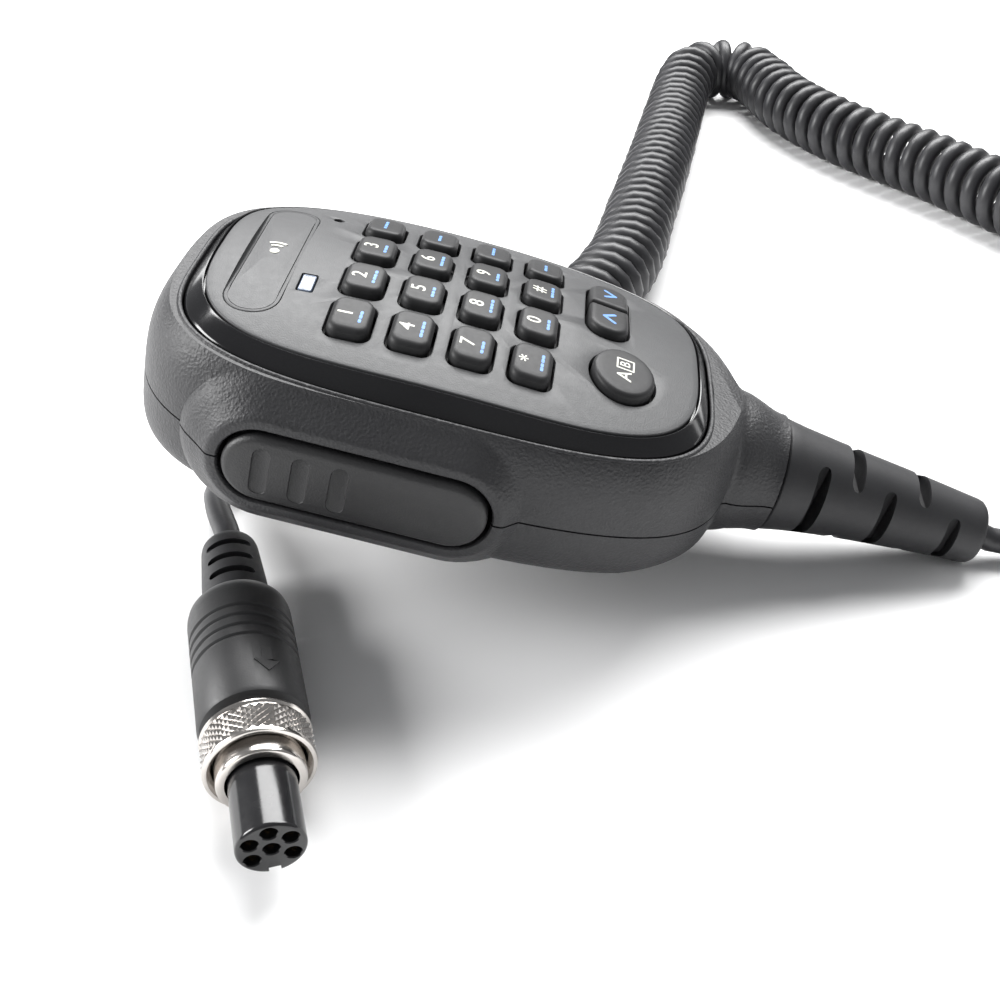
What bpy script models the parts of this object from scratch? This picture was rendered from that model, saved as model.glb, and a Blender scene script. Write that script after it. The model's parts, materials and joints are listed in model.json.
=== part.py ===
"""Hand microphone of a mobile amateur radio, with its curly cord and plug.

The microphone is drawn in its own frame, in millimetres: x runs along it towards the
cord, y across it, z out of the keypad, and 0 is the middle of the sixteen keys' tops.
An empty then tips it up on its cord and sets it down on the ground.  The cord and the
plug are drawn where they lie on the ground.
"""

import math

import bmesh
import bpy
from mathutils import Matrix, Vector

MM = 0.001
GAP = 0.3                # between pieces that would touch

# ------------------------------------------------------------------ driving sizes, mm
PITCH_ALONG = 9.3        # key to key, along the body
PITCH_ACROSS = 10.35     # key to key, across the body
KEY_LONG = 6.3
KEY_WIDE = 8.0
KEY_PROUD = 1.4          # key top above the face
KEY_CLEARANCE = 0.45     # key to its hole, all round
KEY_FLANGE = 0.8         # flange that keeps a key in
KEY_TRAVEL = 0.9

FACE_MID_X = 1.9         # middle of the face panel, from the middle of the keys
FACE_HALF_LONG = 39.5
FACE_HALF_WIDE = 25.2
FACE_POWER = 3.5         # roundness of the face outline
FACE_THICK = 1.5
CROWN_ACROSS = 98.0      # radius of the face's crown
CROWN_ALONG = 270.0

BEZEL_WIDE = 2.7         # sloping gloss band round the face
BEZEL_FOOT = 10.2        # depth of the bezel's underside
RIM_Z = -7.8             # level rim where the front shell meets the bezel
LEDGE_WIDE = 2.0         # bezel ledge under the face panel

WALL = 2.4
PARTING_Z = -20.5        # the shells part here, and the neck is centred on it
BODY_HALF_WIDE = 31.2
FRONT_RISE = 22.0        # front shell's section, above the parting
REAR_DEPTH = 12.5
TOP_END_X = -46.0
TOP_SPRING_X = -12.0     # where the top end starts to round
SHOULDER_X = -5.0        # where the cord end starts to round
SHOULDER_LONG = 56.0
NECK_END_X = 59.5
NECK_RADIUS = 10.3
NECK_FLARE = 0.085       # how fast the neck flares into the body

RELIEF_END_X = 98.0
RELIEF_TIP_RADIUS = 5.7
RELIEF_SLOT = 2.3
RELIEF_DROOP = 1.3       # how far its soft tip sags, to lie on the ground
CABLE = 4.4              # diameter of the straight cord
CURL = 18.5              # outer diameter of the curly cord

PTT_MID_X = -7.0
PTT_HALF_LONG = 20.0
PTT_HALF_HIGH = 5.8
PTT_CLEARANCE = 0.65
PTT_OUT_Y = BODY_HALF_WIDE + 3.0     # lever's outer face, from the middle of the body
PTT_IN_Y = BODY_HALF_WIDE - 1.4
COLLAR_WIDE = 1.9        # rim of the shells round the lever
COLLAR_OUT_Y = BODY_HALF_WIDE + 1.8
POCKET_IN_Y = BODY_HALF_WIDE - 12.2
PTT_SWING = math.radians(3.2)
PIVOT_X = PTT_MID_X + PTT_HALF_LONG - 2.5
PIVOT_Y = 3.9 - BODY_HALF_WIDE
PIVOT_RADIUS = 1.0

PLUG_RADIUS = 8.0
NUT_RADIUS = 7.9
BOOT_LONG = 16.2
PLUG_BODY_END = 42.6
NUT_END = 49.2
RING_END = 51.4
INSERT_END = 62.5
INSERT_RADIUS = 4.7
RING_RADIUS = 6.25
CONTACT_CIRCLE = 3.05
CONTACT_RADIUS = 0.8

TIP_UP = math.radians(13.7)      # the top end is raised, the body lying on its cord
PLUG_AT = (-57.2, -19.0)         # cord end of the plug's boot, on the ground
PLUG_HEADING = (0.350, -0.937)

# ------------------------------------------------------------------ scene and helpers
for old in list(bpy.data.objects):
    bpy.data.objects.remove(old, do_unlink=True)

parts = bpy.data.collections.new("hand_microphone")
cutters = bpy.data.collections.new("cutters")
bpy.context.scene.collection.children.link(parts)
bpy.context.scene.collection.children.link(cutters)


def material(name, colour, roughness, metallic=0.0):
    made = bpy.data.materials.new(name)
    made.use_nodes = True
    shader = made.node_tree.nodes["Principled BSDF"]
    shader.inputs["Base Color"].default_value = (*colour, 1.0)
    shader.inputs["Roughness"].default_value = roughness
    shader.inputs["Metallic"].default_value = metallic
    return made


GRAINED = material("grained_black_plastic", (0.022, 0.022, 0.024), 0.5)
MATTE = material("matte_face", (0.060, 0.061, 0.064), 0.62)
GLOSS = material("gloss_black_plastic", (0.010, 0.010, 0.011), 0.12)
KEY_RUBBER = material("key_rubber", (0.035, 0.035, 0.038), 0.55)
SOFT_RUBBER = material("soft_rubber", (0.030, 0.030, 0.032), 0.6)
CORD_VINYL = material("cord_vinyl", (0.035, 0.035, 0.037), 0.5)
NICKEL = material("nickel", (0.62, 0.61, 0.58), 0.22, 1.0)
STEEL = material("steel", (0.50, 0.50, 0.50), 0.35, 1.0)
GOLD = material("gold_plate", (0.80, 0.58, 0.22), 0.25, 1.0)
BOARD = material("circuit_board", (0.02, 0.10, 0.04), 0.4)
LENS = material("clear_lens", (0.33, 0.36, 0.45), 0.2)


def placed(mesh, coat, parent=None, collection=parts):
    """An object of this mesh, which is in millimetres."""
    mesh.transform(Matrix.Scale(MM, 4))
    made = bpy.data.objects.new(mesh.name, mesh)
    collection.objects.link(made)
    if coat:
        mesh.materials.append(coat)
    made.parent = parent
    if collection is cutters:
        made.hide_render = True
        made.display_type = "WIRE"
    return made


def finished(shape, name):
    bmesh.ops.recalc_face_normals(shape, faces=shape.faces)
    mesh = bpy.data.meshes.new(name)
    shape.to_mesh(mesh)
    shape.free()
    mesh.shade_smooth()
    mesh.set_sharp_from_angle(angle=math.radians(32))
    return mesh


def loft(rings):
    """A closed body through rings of equal numbers of points, capped at both ends."""
    shape = bmesh.new()
    rows = [[shape.verts.new(point) for point in ring] for ring in rings]
    for low, high in zip(rows, rows[1:]):
        for i in range(len(low)):
            j = (i + 1) % len(low)
            shape.faces.new((low[i], low[j], high[j], high[i]))
    shape.faces.new(rows[0])
    shape.faces.new(rows[-1])
    return shape


def hoop(rings):
    """A closed ring-shaped body: the last ring of points joins the first."""
    shape = bmesh.new()
    rows = [[shape.verts.new(point) for point in ring] for ring in rings]
    for low, high in zip(rows, rows[1:] + rows[:1]):
        for i in range(len(low)):
            j = (i + 1) % len(low)
            shape.faces.new((low[i], low[j], high[j], high[i]))
    return shape


def prism(outline, low, high):
    """A flat outline of (x, y) carried from z = low to z = high."""
    return loft([[(x, y, z) for x, y in outline] for z in (low, high)])


def side_prism(outline, low, high):
    """A flat outline of (x, z) carried from y = low to y = high."""
    return loft([[(x, y, z) for x, z in outline] for y in (low, high)])


def box(low, high):
    x0, y0, z0 = low
    x1, y1, z1 = high
    return prism([(x0, y0), (x1, y0), (x1, y1), (x0, y1)], z0, z1)


def drum(x, y, low, high, radius, sides=24):
    """An upright cylinder."""
    shape = bmesh.new()
    at = Matrix.Translation((x, y, (low + high) / 2))
    bmesh.ops.create_cone(shape, cap_ends=True, segments=sides, radius1=radius,
                          radius2=radius, depth=high - low, matrix=at)
    return shape


def boolean(body, shape, operation="DIFFERENCE"):
    """Cuts or joins a shape, drawn in the body's own frame in millimetres."""
    number = len(cutters.objects)
    tool = placed(finished(shape, f"tool_{number}"), None, collection=cutters)
    tool.parent = body.parent
    tool.matrix_parent_inverse = body.matrix_parent_inverse
    step = body.modifiers.new(operation.lower(), "BOOLEAN")
    step.object = tool
    step.operation = operation
    step.solver = "EXACT"
    return tool


def turned(profile, name, coat, parent, steps=32):
    """A turned piece on its parent's z axis, from (radius, z) points down its outside."""
    mesh = bpy.data.meshes.new(name)
    count = len(profile)
    closed = profile[0][0] > 0
    edges = [(i, (i + 1) % count) for i in range(count if closed else count - 1)]
    mesh.from_pydata([(r, 0, z) for r, z in profile], edges, [])
    made = placed(mesh, coat, parent)
    screw = made.modifiers.new("turn", "SCREW")
    screw.axis = "Z"
    screw.angle = math.tau
    screw.steps = steps
    screw.render_steps = steps
    screw.use_merge_vertices = True
    screw.merge_threshold = 0.00001
    screw.use_smooth_shade = True
    return made


def cord_tube(points, diameter, name, coat, sides=2):
    """A plain tube through points in millimetres, with filled ends."""
    curve = bpy.data.curves.new(name, "CURVE")
    curve.dimensions = "3D"
    curve.bevel_depth = diameter / 2 * MM
    curve.bevel_resolution = sides
    curve.use_fill_caps = True
    line = curve.splines.new("POLY")
    line.points.add(len(points) - 1)
    for at, point in zip(line.points, points):
        at.co = (*(Vector(point) * MM), 1.0)
    curve.materials.append(coat)
    made = bpy.data.objects.new(name, curve)
    parts.objects.link(made)
    return made


def smooth_route(route, spacing):
    """Points about this far apart on one smooth curve through the route's own points."""
    nodes = [Vector(point) for point in route]
    nodes = [nodes[0] * 2 - nodes[1]] + nodes + [nodes[-1] * 2 - nodes[-2]]
    found = []
    for a, b, c, d in zip(nodes, nodes[1:], nodes[2:], nodes[3:]):
        count = max(1, round((c - b).length / spacing))
        for i in range(count):
            t = i / count
            found.append(0.5 * (2 * b + (c - a) * t + (2 * a - 5 * b + 4 * c - d) * t * t
                                + (3 * b - a - 3 * c + d) * t ** 3))
    return found + [nodes[-2]]


def move_origin(piece, point):
    """Sets a moving piece's own origin on its joint's axis."""
    point = Vector(point) * MM
    piece.data.transform(Matrix.Translation(-point))
    piece.location = point


def ellipse(half_x, half_y, power, mid_x=0.0, mid_y=0.0, count=48):
    """A rounded outline: power 2 is an ellipse, and a higher one is squarer."""
    found = []
    for i in range(count):
        angle = math.tau * (i + 0.5) / count
        c, s = math.cos(angle), math.sin(angle)
        found.append((mid_x + half_x * math.copysign(abs(c) ** (2 / power), c),
                      mid_y + half_y * math.copysign(abs(s) ** (2 / power), s)))
    return found


def rounded(half_x, half_y, radius, mid_x=0.0, mid_y=0.0, steps=3):
    """A rectangle with round corners."""
    found = []
    for corner in range(4):
        out_x = 1 if corner in (0, 3) else -1
        out_y = 1 if corner in (0, 1) else -1
        for i in range(steps + 1):
            angle = math.pi / 2 * (corner + i / steps)
            found.append((mid_x + out_x * (half_x - radius) + radius * math.cos(angle),
                          mid_y + out_y * (half_y - radius) + radius * math.sin(angle)))
    return found


def crown(x, y):
    """Height of the key tops' crowned surface."""
    return -y * y / (2 * CROWN_ACROSS) - x * x / (2 * CROWN_ALONG)


def face(x, y):
    return crown(x, y) - KEY_PROUD


def face_outline(spread, count=48):
    """The face panel's outline, spread outwards by so much."""
    return ellipse(FACE_HALF_LONG + spread, FACE_HALF_WIDE + spread, FACE_POWER,
                   FACE_MID_X, 0.0, count)


mic = bpy.data.objects.new("microphone_seat", None)
parts.objects.link(mic)
mic.rotation_euler = (0.0, TIP_UP, 0.0)

# ------------------------------------------------------------------ the two shells


def blend(one, other):
    """The larger of two sizes, with a fillet where they cross."""
    return (one ** 8 + other ** 8) ** 0.125


def taper(x, power, start, long):
    """1 along the body, falling to 0 where the body's end is."""
    t = min(max((x - start) / long, 0.0), 1.0)
    return max(1 - t ** power, 0.0) ** (1 / power)


def section(x, inset):
    """Half width, rise above the parting, and depth below it, at a place along the body."""
    top_long = TOP_SPRING_X - TOP_END_X
    wide_end = taper(-x, 2.7, -TOP_SPRING_X, top_long - inset)
    away = NECK_END_X - x
    flare = NECK_FLARE * away ** 2 * math.exp(-(away / 8) ** 2)
    neck = NECK_RADIUS - inset + flare
    wide = (BODY_HALF_WIDE - inset) * wide_end * taper(x, 3.3, SHOULDER_X, SHOULDER_LONG - inset)
    rise = (FRONT_RISE - inset) * wide_end * taper(x, 3.3, SHOULDER_X, SHOULDER_LONG + 1 - inset)
    deep = (REAR_DEPTH - inset) * taper(x, 4.0, SHOULDER_X, SHOULDER_LONG + 2 - inset)
    deep *= taper(-x, 6.0, -TOP_SPRING_X, top_long - inset)
    if x > 0:
        wide, rise, deep = blend(wide, neck), blend(rise, neck), blend(deep, neck - 0.6 * flare)
    return wide, rise, deep


def roundness(x, front):
    """Power of the body's section: the neck is a true circle, and the body is squarer."""
    squared = min(max((x - 36) / 18, 0.0), 1.0)
    return (3.0 if front else 4.5) * (1 - squared) + 2.0 * squared


def underside(x, y, reach):
    """Height of the rear shell's outside, at so much further out than a place."""
    out = 1 + reach / math.hypot(x, y)
    wide, _, deep = section(x * out, 0.0)
    power = roundness(x * out, False)
    return PARTING_Z - deep * (1 - abs(y * out / wide) ** power) ** (1 / power)


def stations(inset):
    """Places along the body, closer together where the ends round."""
    found = []
    for degrees in (88, 82, 74, 64, 53, 40, 24):
        share = math.sin(math.radians(degrees)) ** (2 / 2.7)
        found.append(TOP_SPRING_X + (TOP_END_X + inset - TOP_SPRING_X) * share)
    found += [TOP_SPRING_X, 4, 16, 24, 30, 35, 39.5, 43, 46, 48.5, 51, 53, 55, 57]
    return found + [NECK_END_X]


def half_body(front, inset, steps=16):
    """The front or rear half of the body, reaching 1 mm past the parting."""
    rings = []
    places = stations(inset)
    if inset:
        places[-1] = NECK_END_X + 1
    for x in places:
        wide, rise, deep = section(min(x, NECK_END_X), inset)
        high = rise if front else deep
        power = roundness(x, front)
        sign = 1 if front else -1
        ring = [(x, wide, PARTING_Z - sign), (x, -wide, PARTING_Z - sign)]
        for i in range(steps + 1):
            angle = math.pi * i / steps
            c, s = math.cos(angle), math.sin(angle)
            y = -wide * math.copysign(abs(c) ** (2 / power), c)
            ring.append((x, y, PARTING_Z + sign * high * abs(s) ** (2 / power)))
        rings.append(ring)
    return loft(rings)


def stadium(half_long, half_high, steps=8):
    """Outline of the push-to-talk lever, in (x, z)."""
    straight = half_long - half_high
    found = []
    for end in (1, -1):
        for i in range(steps + 1):
            angle = math.pi * (i / steps - 0.5) + (0 if end > 0 else math.pi)
            found.append((PTT_MID_X + end * straight + half_high * math.cos(angle),
                          PARTING_Z + half_high * math.sin(angle)))
    return found


TOP_SCREW = (TOP_END_X + 7.4, 0.436 * BODY_HALF_WIDE)
CORD_SCREW = (SHOULDER_X + SHOULDER_LONG - 8.2, 0.5 * BODY_HALF_WIDE)
SCREWS = [(x, side * y) for x, y in (TOP_SCREW, CORD_SCREW) for side in (1, -1)]
BOSS_RADIUS = 3.3
SCREW_RADIUS = 1.2
HEAD_RADIUS = 2.3
HEAD_THICK = 1.6
REAR_FACE_Z = PARTING_Z - REAR_DEPTH
PAST = 30.0              # how far a cutter runs past what it cuts

PIN_BOSS_RADIUS = 2.2
PIN_BOSS_START = 4.0     # from the parting to each pin boss
for front, name in ((True, "front_shell"), (False, "rear_shell")):
    sign = 1 if front else -1
    shell = placed(finished(half_body(front, 0.0), name), GRAINED, mic)
    collar = stadium(PTT_HALF_LONG + PTT_CLEARANCE + COLLAR_WIDE,
                     PTT_HALF_HIGH + PTT_CLEARANCE + COLLAR_WIDE)
    boolean(shell, side_prism(collar, -COLLAR_OUT_Y, -POCKET_IN_Y - 1.0), "UNION")
    boolean(shell, half_body(front, WALL))
    for x, y in SCREWS:
        foot = -BEZEL_FOOT - 2 * GAP if front else underside(x, y, BOSS_RADIUS) + 0.5
        boolean(shell, drum(x, y, *sorted((PARTING_Z - sign, foot)), BOSS_RADIUS, 16), "UNION")
    boolean(shell, side_prism(stadium(PTT_HALF_LONG + PTT_CLEARANCE,
                                      PTT_HALF_HIGH + PTT_CLEARANCE),
                              -COLLAR_OUT_Y - 5, -POCKET_IN_Y))
    boss_end = 9.7 if front else REAR_DEPTH - 1.0
    boss_ends = sorted((PARTING_Z + sign * PIN_BOSS_START, PARTING_Z + sign * boss_end))
    boolean(shell, drum(PIVOT_X, PIVOT_Y, *boss_ends, PIN_BOSS_RADIUS, 16), "UNION")
    pin_hole = sorted((PARTING_Z + sign * 2.0, PARTING_Z + sign * 6.4))
    boolean(shell, drum(PIVOT_X, PIVOT_Y, *pin_hole, PIVOT_RADIUS + GAP, 16))
    for x, y in SCREWS:
        if front:
            boolean(shell, drum(x, y, PARTING_Z - 3, PARTING_Z + 6.5, SCREW_RADIUS + GAP, 16))
        else:
            boolean(shell, drum(x, y, REAR_FACE_Z - 3, PARTING_Z + 3, SCREW_RADIUS + GAP, 16))
            head_top = underside(x, y, BOSS_RADIUS) + 0.7 + HEAD_THICK
            boolean(shell, drum(x, y, REAR_FACE_Z - 3, head_top, HEAD_RADIUS + GAP, 16))
    if front:
        boolean(shell, box((-PAST * 3, -PAST * 2, RIM_Z), (PAST * 3, PAST * 2, PAST)))
        boolean(shell, prism(face_outline(BEZEL_WIDE + GAP), -BEZEL_FOOT - GAP, PAST))
        boolean(shell, box((-PAST * 3, -PAST * 2, -PAST * 2),
                           (PAST * 3, PAST * 2, PARTING_Z + GAP / 2)))
    else:
        boolean(shell, drum(-25.0, 0, REAR_FACE_Z - 3, PARTING_Z, 1.3 + GAP, 16))
        boolean(shell, box((-PAST * 3, -PAST * 2, PARTING_Z - GAP / 2),
                           (PAST * 3, PAST * 2, PAST)))

for number, (x, y) in enumerate(SCREWS, 1):
    low = underside(x, y, BOSS_RADIUS) + 0.7
    piece = placed(finished(loft([
        [(x + r * math.cos(math.tau * i / 16), y + r * math.sin(math.tau * i / 16), z)
         for i in range(16)]
        for r, z in ((HEAD_RADIUS - 0.4, low), (HEAD_RADIUS, low + 0.4),
                     (HEAD_RADIUS, low + HEAD_THICK - GAP),
                     (SCREW_RADIUS, low + HEAD_THICK - GAP),
                     (SCREW_RADIUS, PARTING_Z + 6.0))]), f"case_screw_{number}"),
        STEEL, mic)
    boolean(piece, box((x - 1.5, y - 0.3, low - 1), (x + 1.5, y + 0.3, low + 0.7)))
    boolean(piece, box((x - 0.3, y - 1.5, low - 1), (x + 0.3, y + 1.5, low + 0.7)))

# ------------------------------------------------------------------ bezel and face panel
inner_top = face_outline(GAP)
lip = face_outline(BEZEL_WIDE)
ledge = face_outline(-LEDGE_WIDE)
BAND_FOOT_Z = RIM_Z + 0.15
rings = [
    [(x, y, face(x, y)) for x, y in inner_top],
    [(x, y, BAND_FOOT_Z) for x, y in lip],
    [(x, y, -BEZEL_FOOT) for x, y in lip],
    [(x, y, -BEZEL_FOOT) for x, y in ledge],
    [(x, y, face(*edge) - FACE_THICK - GAP) for (x, y), edge in zip(ledge, inner_top)],
    [(x, y, face(x, y) - FACE_THICK - GAP) for x, y in inner_top],
]
placed(finished(hoop(rings), "face_bezel"), GLOSS, mic)


def crowned_plate(outline_scale_steps, outline, top, bottom):
    """A plate whose two faces follow a crowned surface."""
    shape = bmesh.new()
    middle = (sum(x for x, _ in outline) / len(outline), sum(y for _, y in outline) / len(outline))
    sheets = []
    for height in (top, bottom):
        rows = []
        for share in outline_scale_steps:
            row = []
            for x, y in outline:
                at = (middle[0] + (x - middle[0]) * share, middle[1] + (y - middle[1]) * share)
                row.append(shape.verts.new((*at, height(*at))))
            rows.append(row)
        centre = shape.verts.new((*middle, height(*middle)))
        for outer, inner in zip(rows, rows[1:]):
            for i in range(len(outer)):
                j = (i + 1) % len(outer)
                shape.faces.new((outer[i], outer[j], inner[j], inner[i]))
        for i in range(len(outline)):
            shape.faces.new((rows[-1][i], rows[-1][(i + 1) % len(outline)], centre))
        sheets.append(rows[0])
    for i in range(len(outline)):
        j = (i + 1) % len(outline)
        shape.faces.new((sheets[0][i], sheets[0][j], sheets[1][j], sheets[1][i]))
    return shape


KEY_NAMES = [["key_1", "key_2", "key_3", "key_a"], ["key_4", "key_5", "key_6", "key_b"],
             ["key_7", "key_8", "key_9", "key_c"], ["key_star", "key_0", "key_hash", "key_d"]]
KEY_CORNER = 1.3
UP_AT = (25.4, 3.2)
DOWN_AT = (25.4, 12.4)
UP_HALF_LONG = 3.45
UP_HALF_WIDE = 4.3
AB_AT = (28.4, -10.8)
AB_HALF_LONG = 5.15
AB_HALF_WIDE = 5.6
PLATE_AT = (-29.2, 0.0)
PLATE_HALF_LONG = 4.2
PLATE_HALF_WIDE = 17.8
PLATE_THICK = 0.6
LENS_AT = (-22.2, -8.3)
CAPSULE_AT = (-22.2, 17.0)
CAPSULE_RADIUS = 2.8
BOOT_WALL = 0.6


def key_place(row, column):
    return (row - 1.5) * PITCH_ALONG, (column - 1.5) * PITCH_ACROSS


def capsule_half(at, side, spread, steps=4):
    """Half of the up and down rocker: its outer end is round, its inner end is square."""
    x, y = at
    long, wide = UP_HALF_LONG + spread, UP_HALF_WIDE + spread
    corner = 3.0 + spread
    small = 0.5 + spread
    found = []
    for out_x, out_y, radius, start in ((1, side, corner, 0), (-1, side, corner, 1),
                                        (-1, -side, small, 2), (1, -side, small, 3)):
        arc = []
        for i in range(steps + 1):
            angle = math.pi / 2 * i / steps
            if start % 2:
                angle = math.pi / 2 - angle
            arc.append((x + out_x * (long - radius + radius * math.cos(angle)),
                        y + out_y * (wide - radius + radius * math.sin(angle))))
        found += arc
    return found


def plate_outline(spread):
    return rounded(PLATE_HALF_LONG + spread, PLATE_HALF_WIDE + spread, 4.0 + spread,
                   *PLATE_AT, 5)


panel = placed(finished(crowned_plate((1.0, 0.75, 0.4), face_outline(0.0), face,
                                      lambda x, y: face(x, y) - FACE_THICK), "face_panel"),
               MATTE, mic)
for row in range(4):
    for column in range(4):
        at = key_place(row, column)
        hole = rounded(KEY_LONG / 2 + KEY_CLEARANCE, KEY_WIDE / 2 + KEY_CLEARANCE,
                       KEY_CORNER + KEY_CLEARANCE, *at, 2)
        boolean(panel, prism(hole, -10, 5))
ROCKER_AT = ((UP_AT[0] + DOWN_AT[0]) / 2, (UP_AT[1] + DOWN_AT[1]) / 2)
rocker_wide = (DOWN_AT[1] - UP_AT[1]) / 2 + UP_HALF_WIDE + KEY_CLEARANCE
boolean(panel, prism(rounded(UP_HALF_LONG + KEY_CLEARANCE, rocker_wide, 3.0 + KEY_CLEARANCE,
                             *ROCKER_AT, 4), -10, 5))
boolean(panel, prism(ellipse(AB_HALF_LONG + KEY_CLEARANCE, AB_HALF_WIDE + KEY_CLEARANCE, 2.0,
                             *AB_AT, 24), -10, 5))
boolean(panel, prism(rounded(1.35, 2.5, 0.4, *LENS_AT, 2), -10, 5))
boolean(panel, drum(*CAPSULE_AT, -10, 5, 0.9, 12))
PLATE_SHARES = (1.0, 0.7, 0.35)
plate_floor = crowned_plate(PLATE_SHARES, plate_outline(GAP), lambda x, y: 5.0,
                            lambda x, y: face(x, y) - PLATE_THICK)
boolean(panel, plate_floor)


def thin_cap(outline, top, low, coat, name, edge=0.0):
    """A small flat piece whose top follows the face, with a softened edge."""
    mid_x = sum(x for x, _ in outline) / len(outline)
    mid_y = sum(y for _, y in outline) / len(outline)
    rings = [[(x, y, low(x, y)) for x, y in outline],
             [(x, y, top(x, y) - edge) for x, y in outline]]
    if edge:
        rings.append([(x + (mid_x - x) * edge / abs(complex(x - mid_x, y - mid_y)),
                       y + (mid_y - y) * edge / abs(complex(x - mid_x, y - mid_y)), top(x, y))
                      for x, y in outline])
    return placed(finished(loft(rings), name), coat, mic)


placed(finished(crowned_plate(PLATE_SHARES, plate_outline(0.0), face,
                              lambda x, y: face(x, y) - PLATE_THICK + GAP), "nameplate"),
       MATTE, mic)
thin_cap(rounded(1.05, 2.2, 0.3, *LENS_AT, 2), face, lambda x, y: -8.3, LENS, "led_lens")
chip = box((LENS_AT[0] - 0.6, LENS_AT[1] - 1, -9.1), (LENS_AT[0] + 0.6, LENS_AT[1] + 1, -8.6))
placed(finished(chip, "led_chip"), LENS, mic)

# ------------------------------------------------------------------ keys
FLANGE_FOOT_Z = -6.9


def key(name, outline_at, at):
    """A key: cap, and a flange under the panel that keeps it in.  Its slide is along z."""
    cap, soft, flange = outline_at(0.0), outline_at(-0.35), outline_at(KEY_FLANGE)
    flange_top = min(face(x, y) for x, y in flange) - FACE_THICK - GAP
    rings = [
        [(x, y, FLANGE_FOOT_Z) for x, y in flange],
        [(x, y, flange_top) for x, y in flange],
        [(x, y, flange_top) for x, y in cap],
        [(x, y, crown(x, y) - 0.3) for x, y in cap],
        [(x, y, crown(x, y)) for x, y in soft],
    ]
    made = placed(finished(loft(rings), name), KEY_RUBBER, mic)
    move_origin(made, (*at, 0.0))


for row in range(4):
    for column in range(4):
        at = key_place(row, column)
        key(KEY_NAMES[row][column],
            lambda spread: rounded(KEY_LONG / 2 + spread, KEY_WIDE / 2 + spread,
                                   KEY_CORNER + spread, *at, 2), at)


def rocker_outline(at, side):
    """The flange is left off the seam, where the two halves face each other."""
    def outline(spread):
        found = capsule_half(at, side, spread)
        edge = at[1] - side * UP_HALF_WIDE
        return [(x, max(y, edge) if side > 0 else min(y, edge)) for x, y in found]
    return outline


key("up_key", rocker_outline(UP_AT, -1), UP_AT)
key("down_key", rocker_outline(DOWN_AT, 1), DOWN_AT)
key("ab_key", lambda spread: ellipse(AB_HALF_LONG + spread, AB_HALF_WIDE + spread, 2.0,
                                     *AB_AT, 24), AB_AT)

# ------------------------------------------------------------------ inside the case
MEMBRANE_Z = FLANGE_FOOT_Z - KEY_TRAVEL - GAP
MEMBRANE_THICK = 1.0
BOARD_Z = MEMBRANE_Z - MEMBRANE_THICK - GAP
BOARD_THICK = 1.6
boot_radius = CAPSULE_RADIUS + GAP + BOOT_WALL
sheet = placed(finished(prism(face_outline(-LEDGE_WIDE - 0.5, 40), MEMBRANE_Z - MEMBRANE_THICK,
                              MEMBRANE_Z), "keypad_membrane"), SOFT_RUBBER, mic)
boolean(sheet, box((-60, -40, -20), (CAPSULE_AT[0] + boot_radius + GAP, 40, 0)))
placed(finished(prism(face_outline(-LEDGE_WIDE - 0.6, 40), BOARD_Z - BOARD_THICK, BOARD_Z),
                "circuit_board"), BOARD, mic)

boot_top = face(CAPSULE_AT[0] - boot_radius, CAPSULE_AT[1] + boot_radius) - FACE_THICK - GAP
boot = placed(finished(drum(*CAPSULE_AT, BOARD_Z + GAP, boot_top, boot_radius), "capsule_boot"),
              SOFT_RUBBER, mic)
boolean(boot, drum(*CAPSULE_AT, BOARD_Z - 1, boot_top - BOOT_WALL, CAPSULE_RADIUS + GAP))
boolean(boot, drum(*CAPSULE_AT, BOARD_Z - 1, 0, 1.0, 12))
placed(finished(drum(*CAPSULE_AT, BOARD_Z + GAP, boot_top - BOOT_WALL - GAP, CAPSULE_RADIUS),
                "mic_capsule"), STEEL, mic)
placed(finished(box((28.0, -5.0, BOARD_Z - BOARD_THICK - 4.3),
                    (33.0, 5.0, BOARD_Z - BOARD_THICK - GAP)), "cord_socket"),
       MATTE, mic)

# ------------------------------------------------------------------ push-to-talk lever
LUG_HALF = 3.0
LUG_IN_Y = PIVOT_Y + 2.7
lever_rings = []
for y, shrink in ((-PTT_IN_Y, 0.0), (-PTT_OUT_Y + 1.6, 0.0), (-PTT_OUT_Y + 0.7, 0.35),
                  (-PTT_OUT_Y + 0.2, 0.9), (-PTT_OUT_Y, 1.8)):
    outline = stadium(PTT_HALF_LONG - shrink, PTT_HALF_HIGH - shrink)
    lever_rings.append([(x, y, z) for x, z in outline])
lever = placed(finished(loft(lever_rings), "ptt_lever"), GRAINED, mic)
boolean(lever, box((PIVOT_X - 2.6, -PTT_IN_Y - 0.8, PARTING_Z - 1.0),
                   (PIVOT_X + 1.8, LUG_IN_Y, PARTING_Z + LUG_HALF)), "UNION")
boolean(lever, drum(PIVOT_X, PIVOT_Y, PARTING_Z - 5, PARTING_Z + 5, PIVOT_RADIUS + GAP, 16))
pivot = (PIVOT_X, PIVOT_Y, PARTING_Z)
for step in lever.modifiers:
    step.object.parent = lever
    step.object.matrix_parent_inverse = Matrix.Translation(-Vector(pivot) * MM)
move_origin(lever, pivot)
placed(finished(drum(PIVOT_X, PIVOT_Y, PARTING_Z - 6.0, PARTING_Z + 6.0, PIVOT_RADIUS, 16),
                "ptt_pin"), STEEL, mic)

spring_points = []
SPRING_RADIUS = PIVOT_RADIUS + 1.0
SPRING_WIRE = 0.5
for i in range(31):
    angle = math.tau * i / 12
    z = PARTING_Z - 1.6 - 0.7 * i / 12
    spring_points.append((PIVOT_X + SPRING_RADIUS * math.cos(angle),
                          PIVOT_Y + SPRING_RADIUS * math.sin(angle), z))
spring = cord_tube(spring_points, SPRING_WIRE, "ptt_spring", STEEL, 1)
spring.parent = mic

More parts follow.
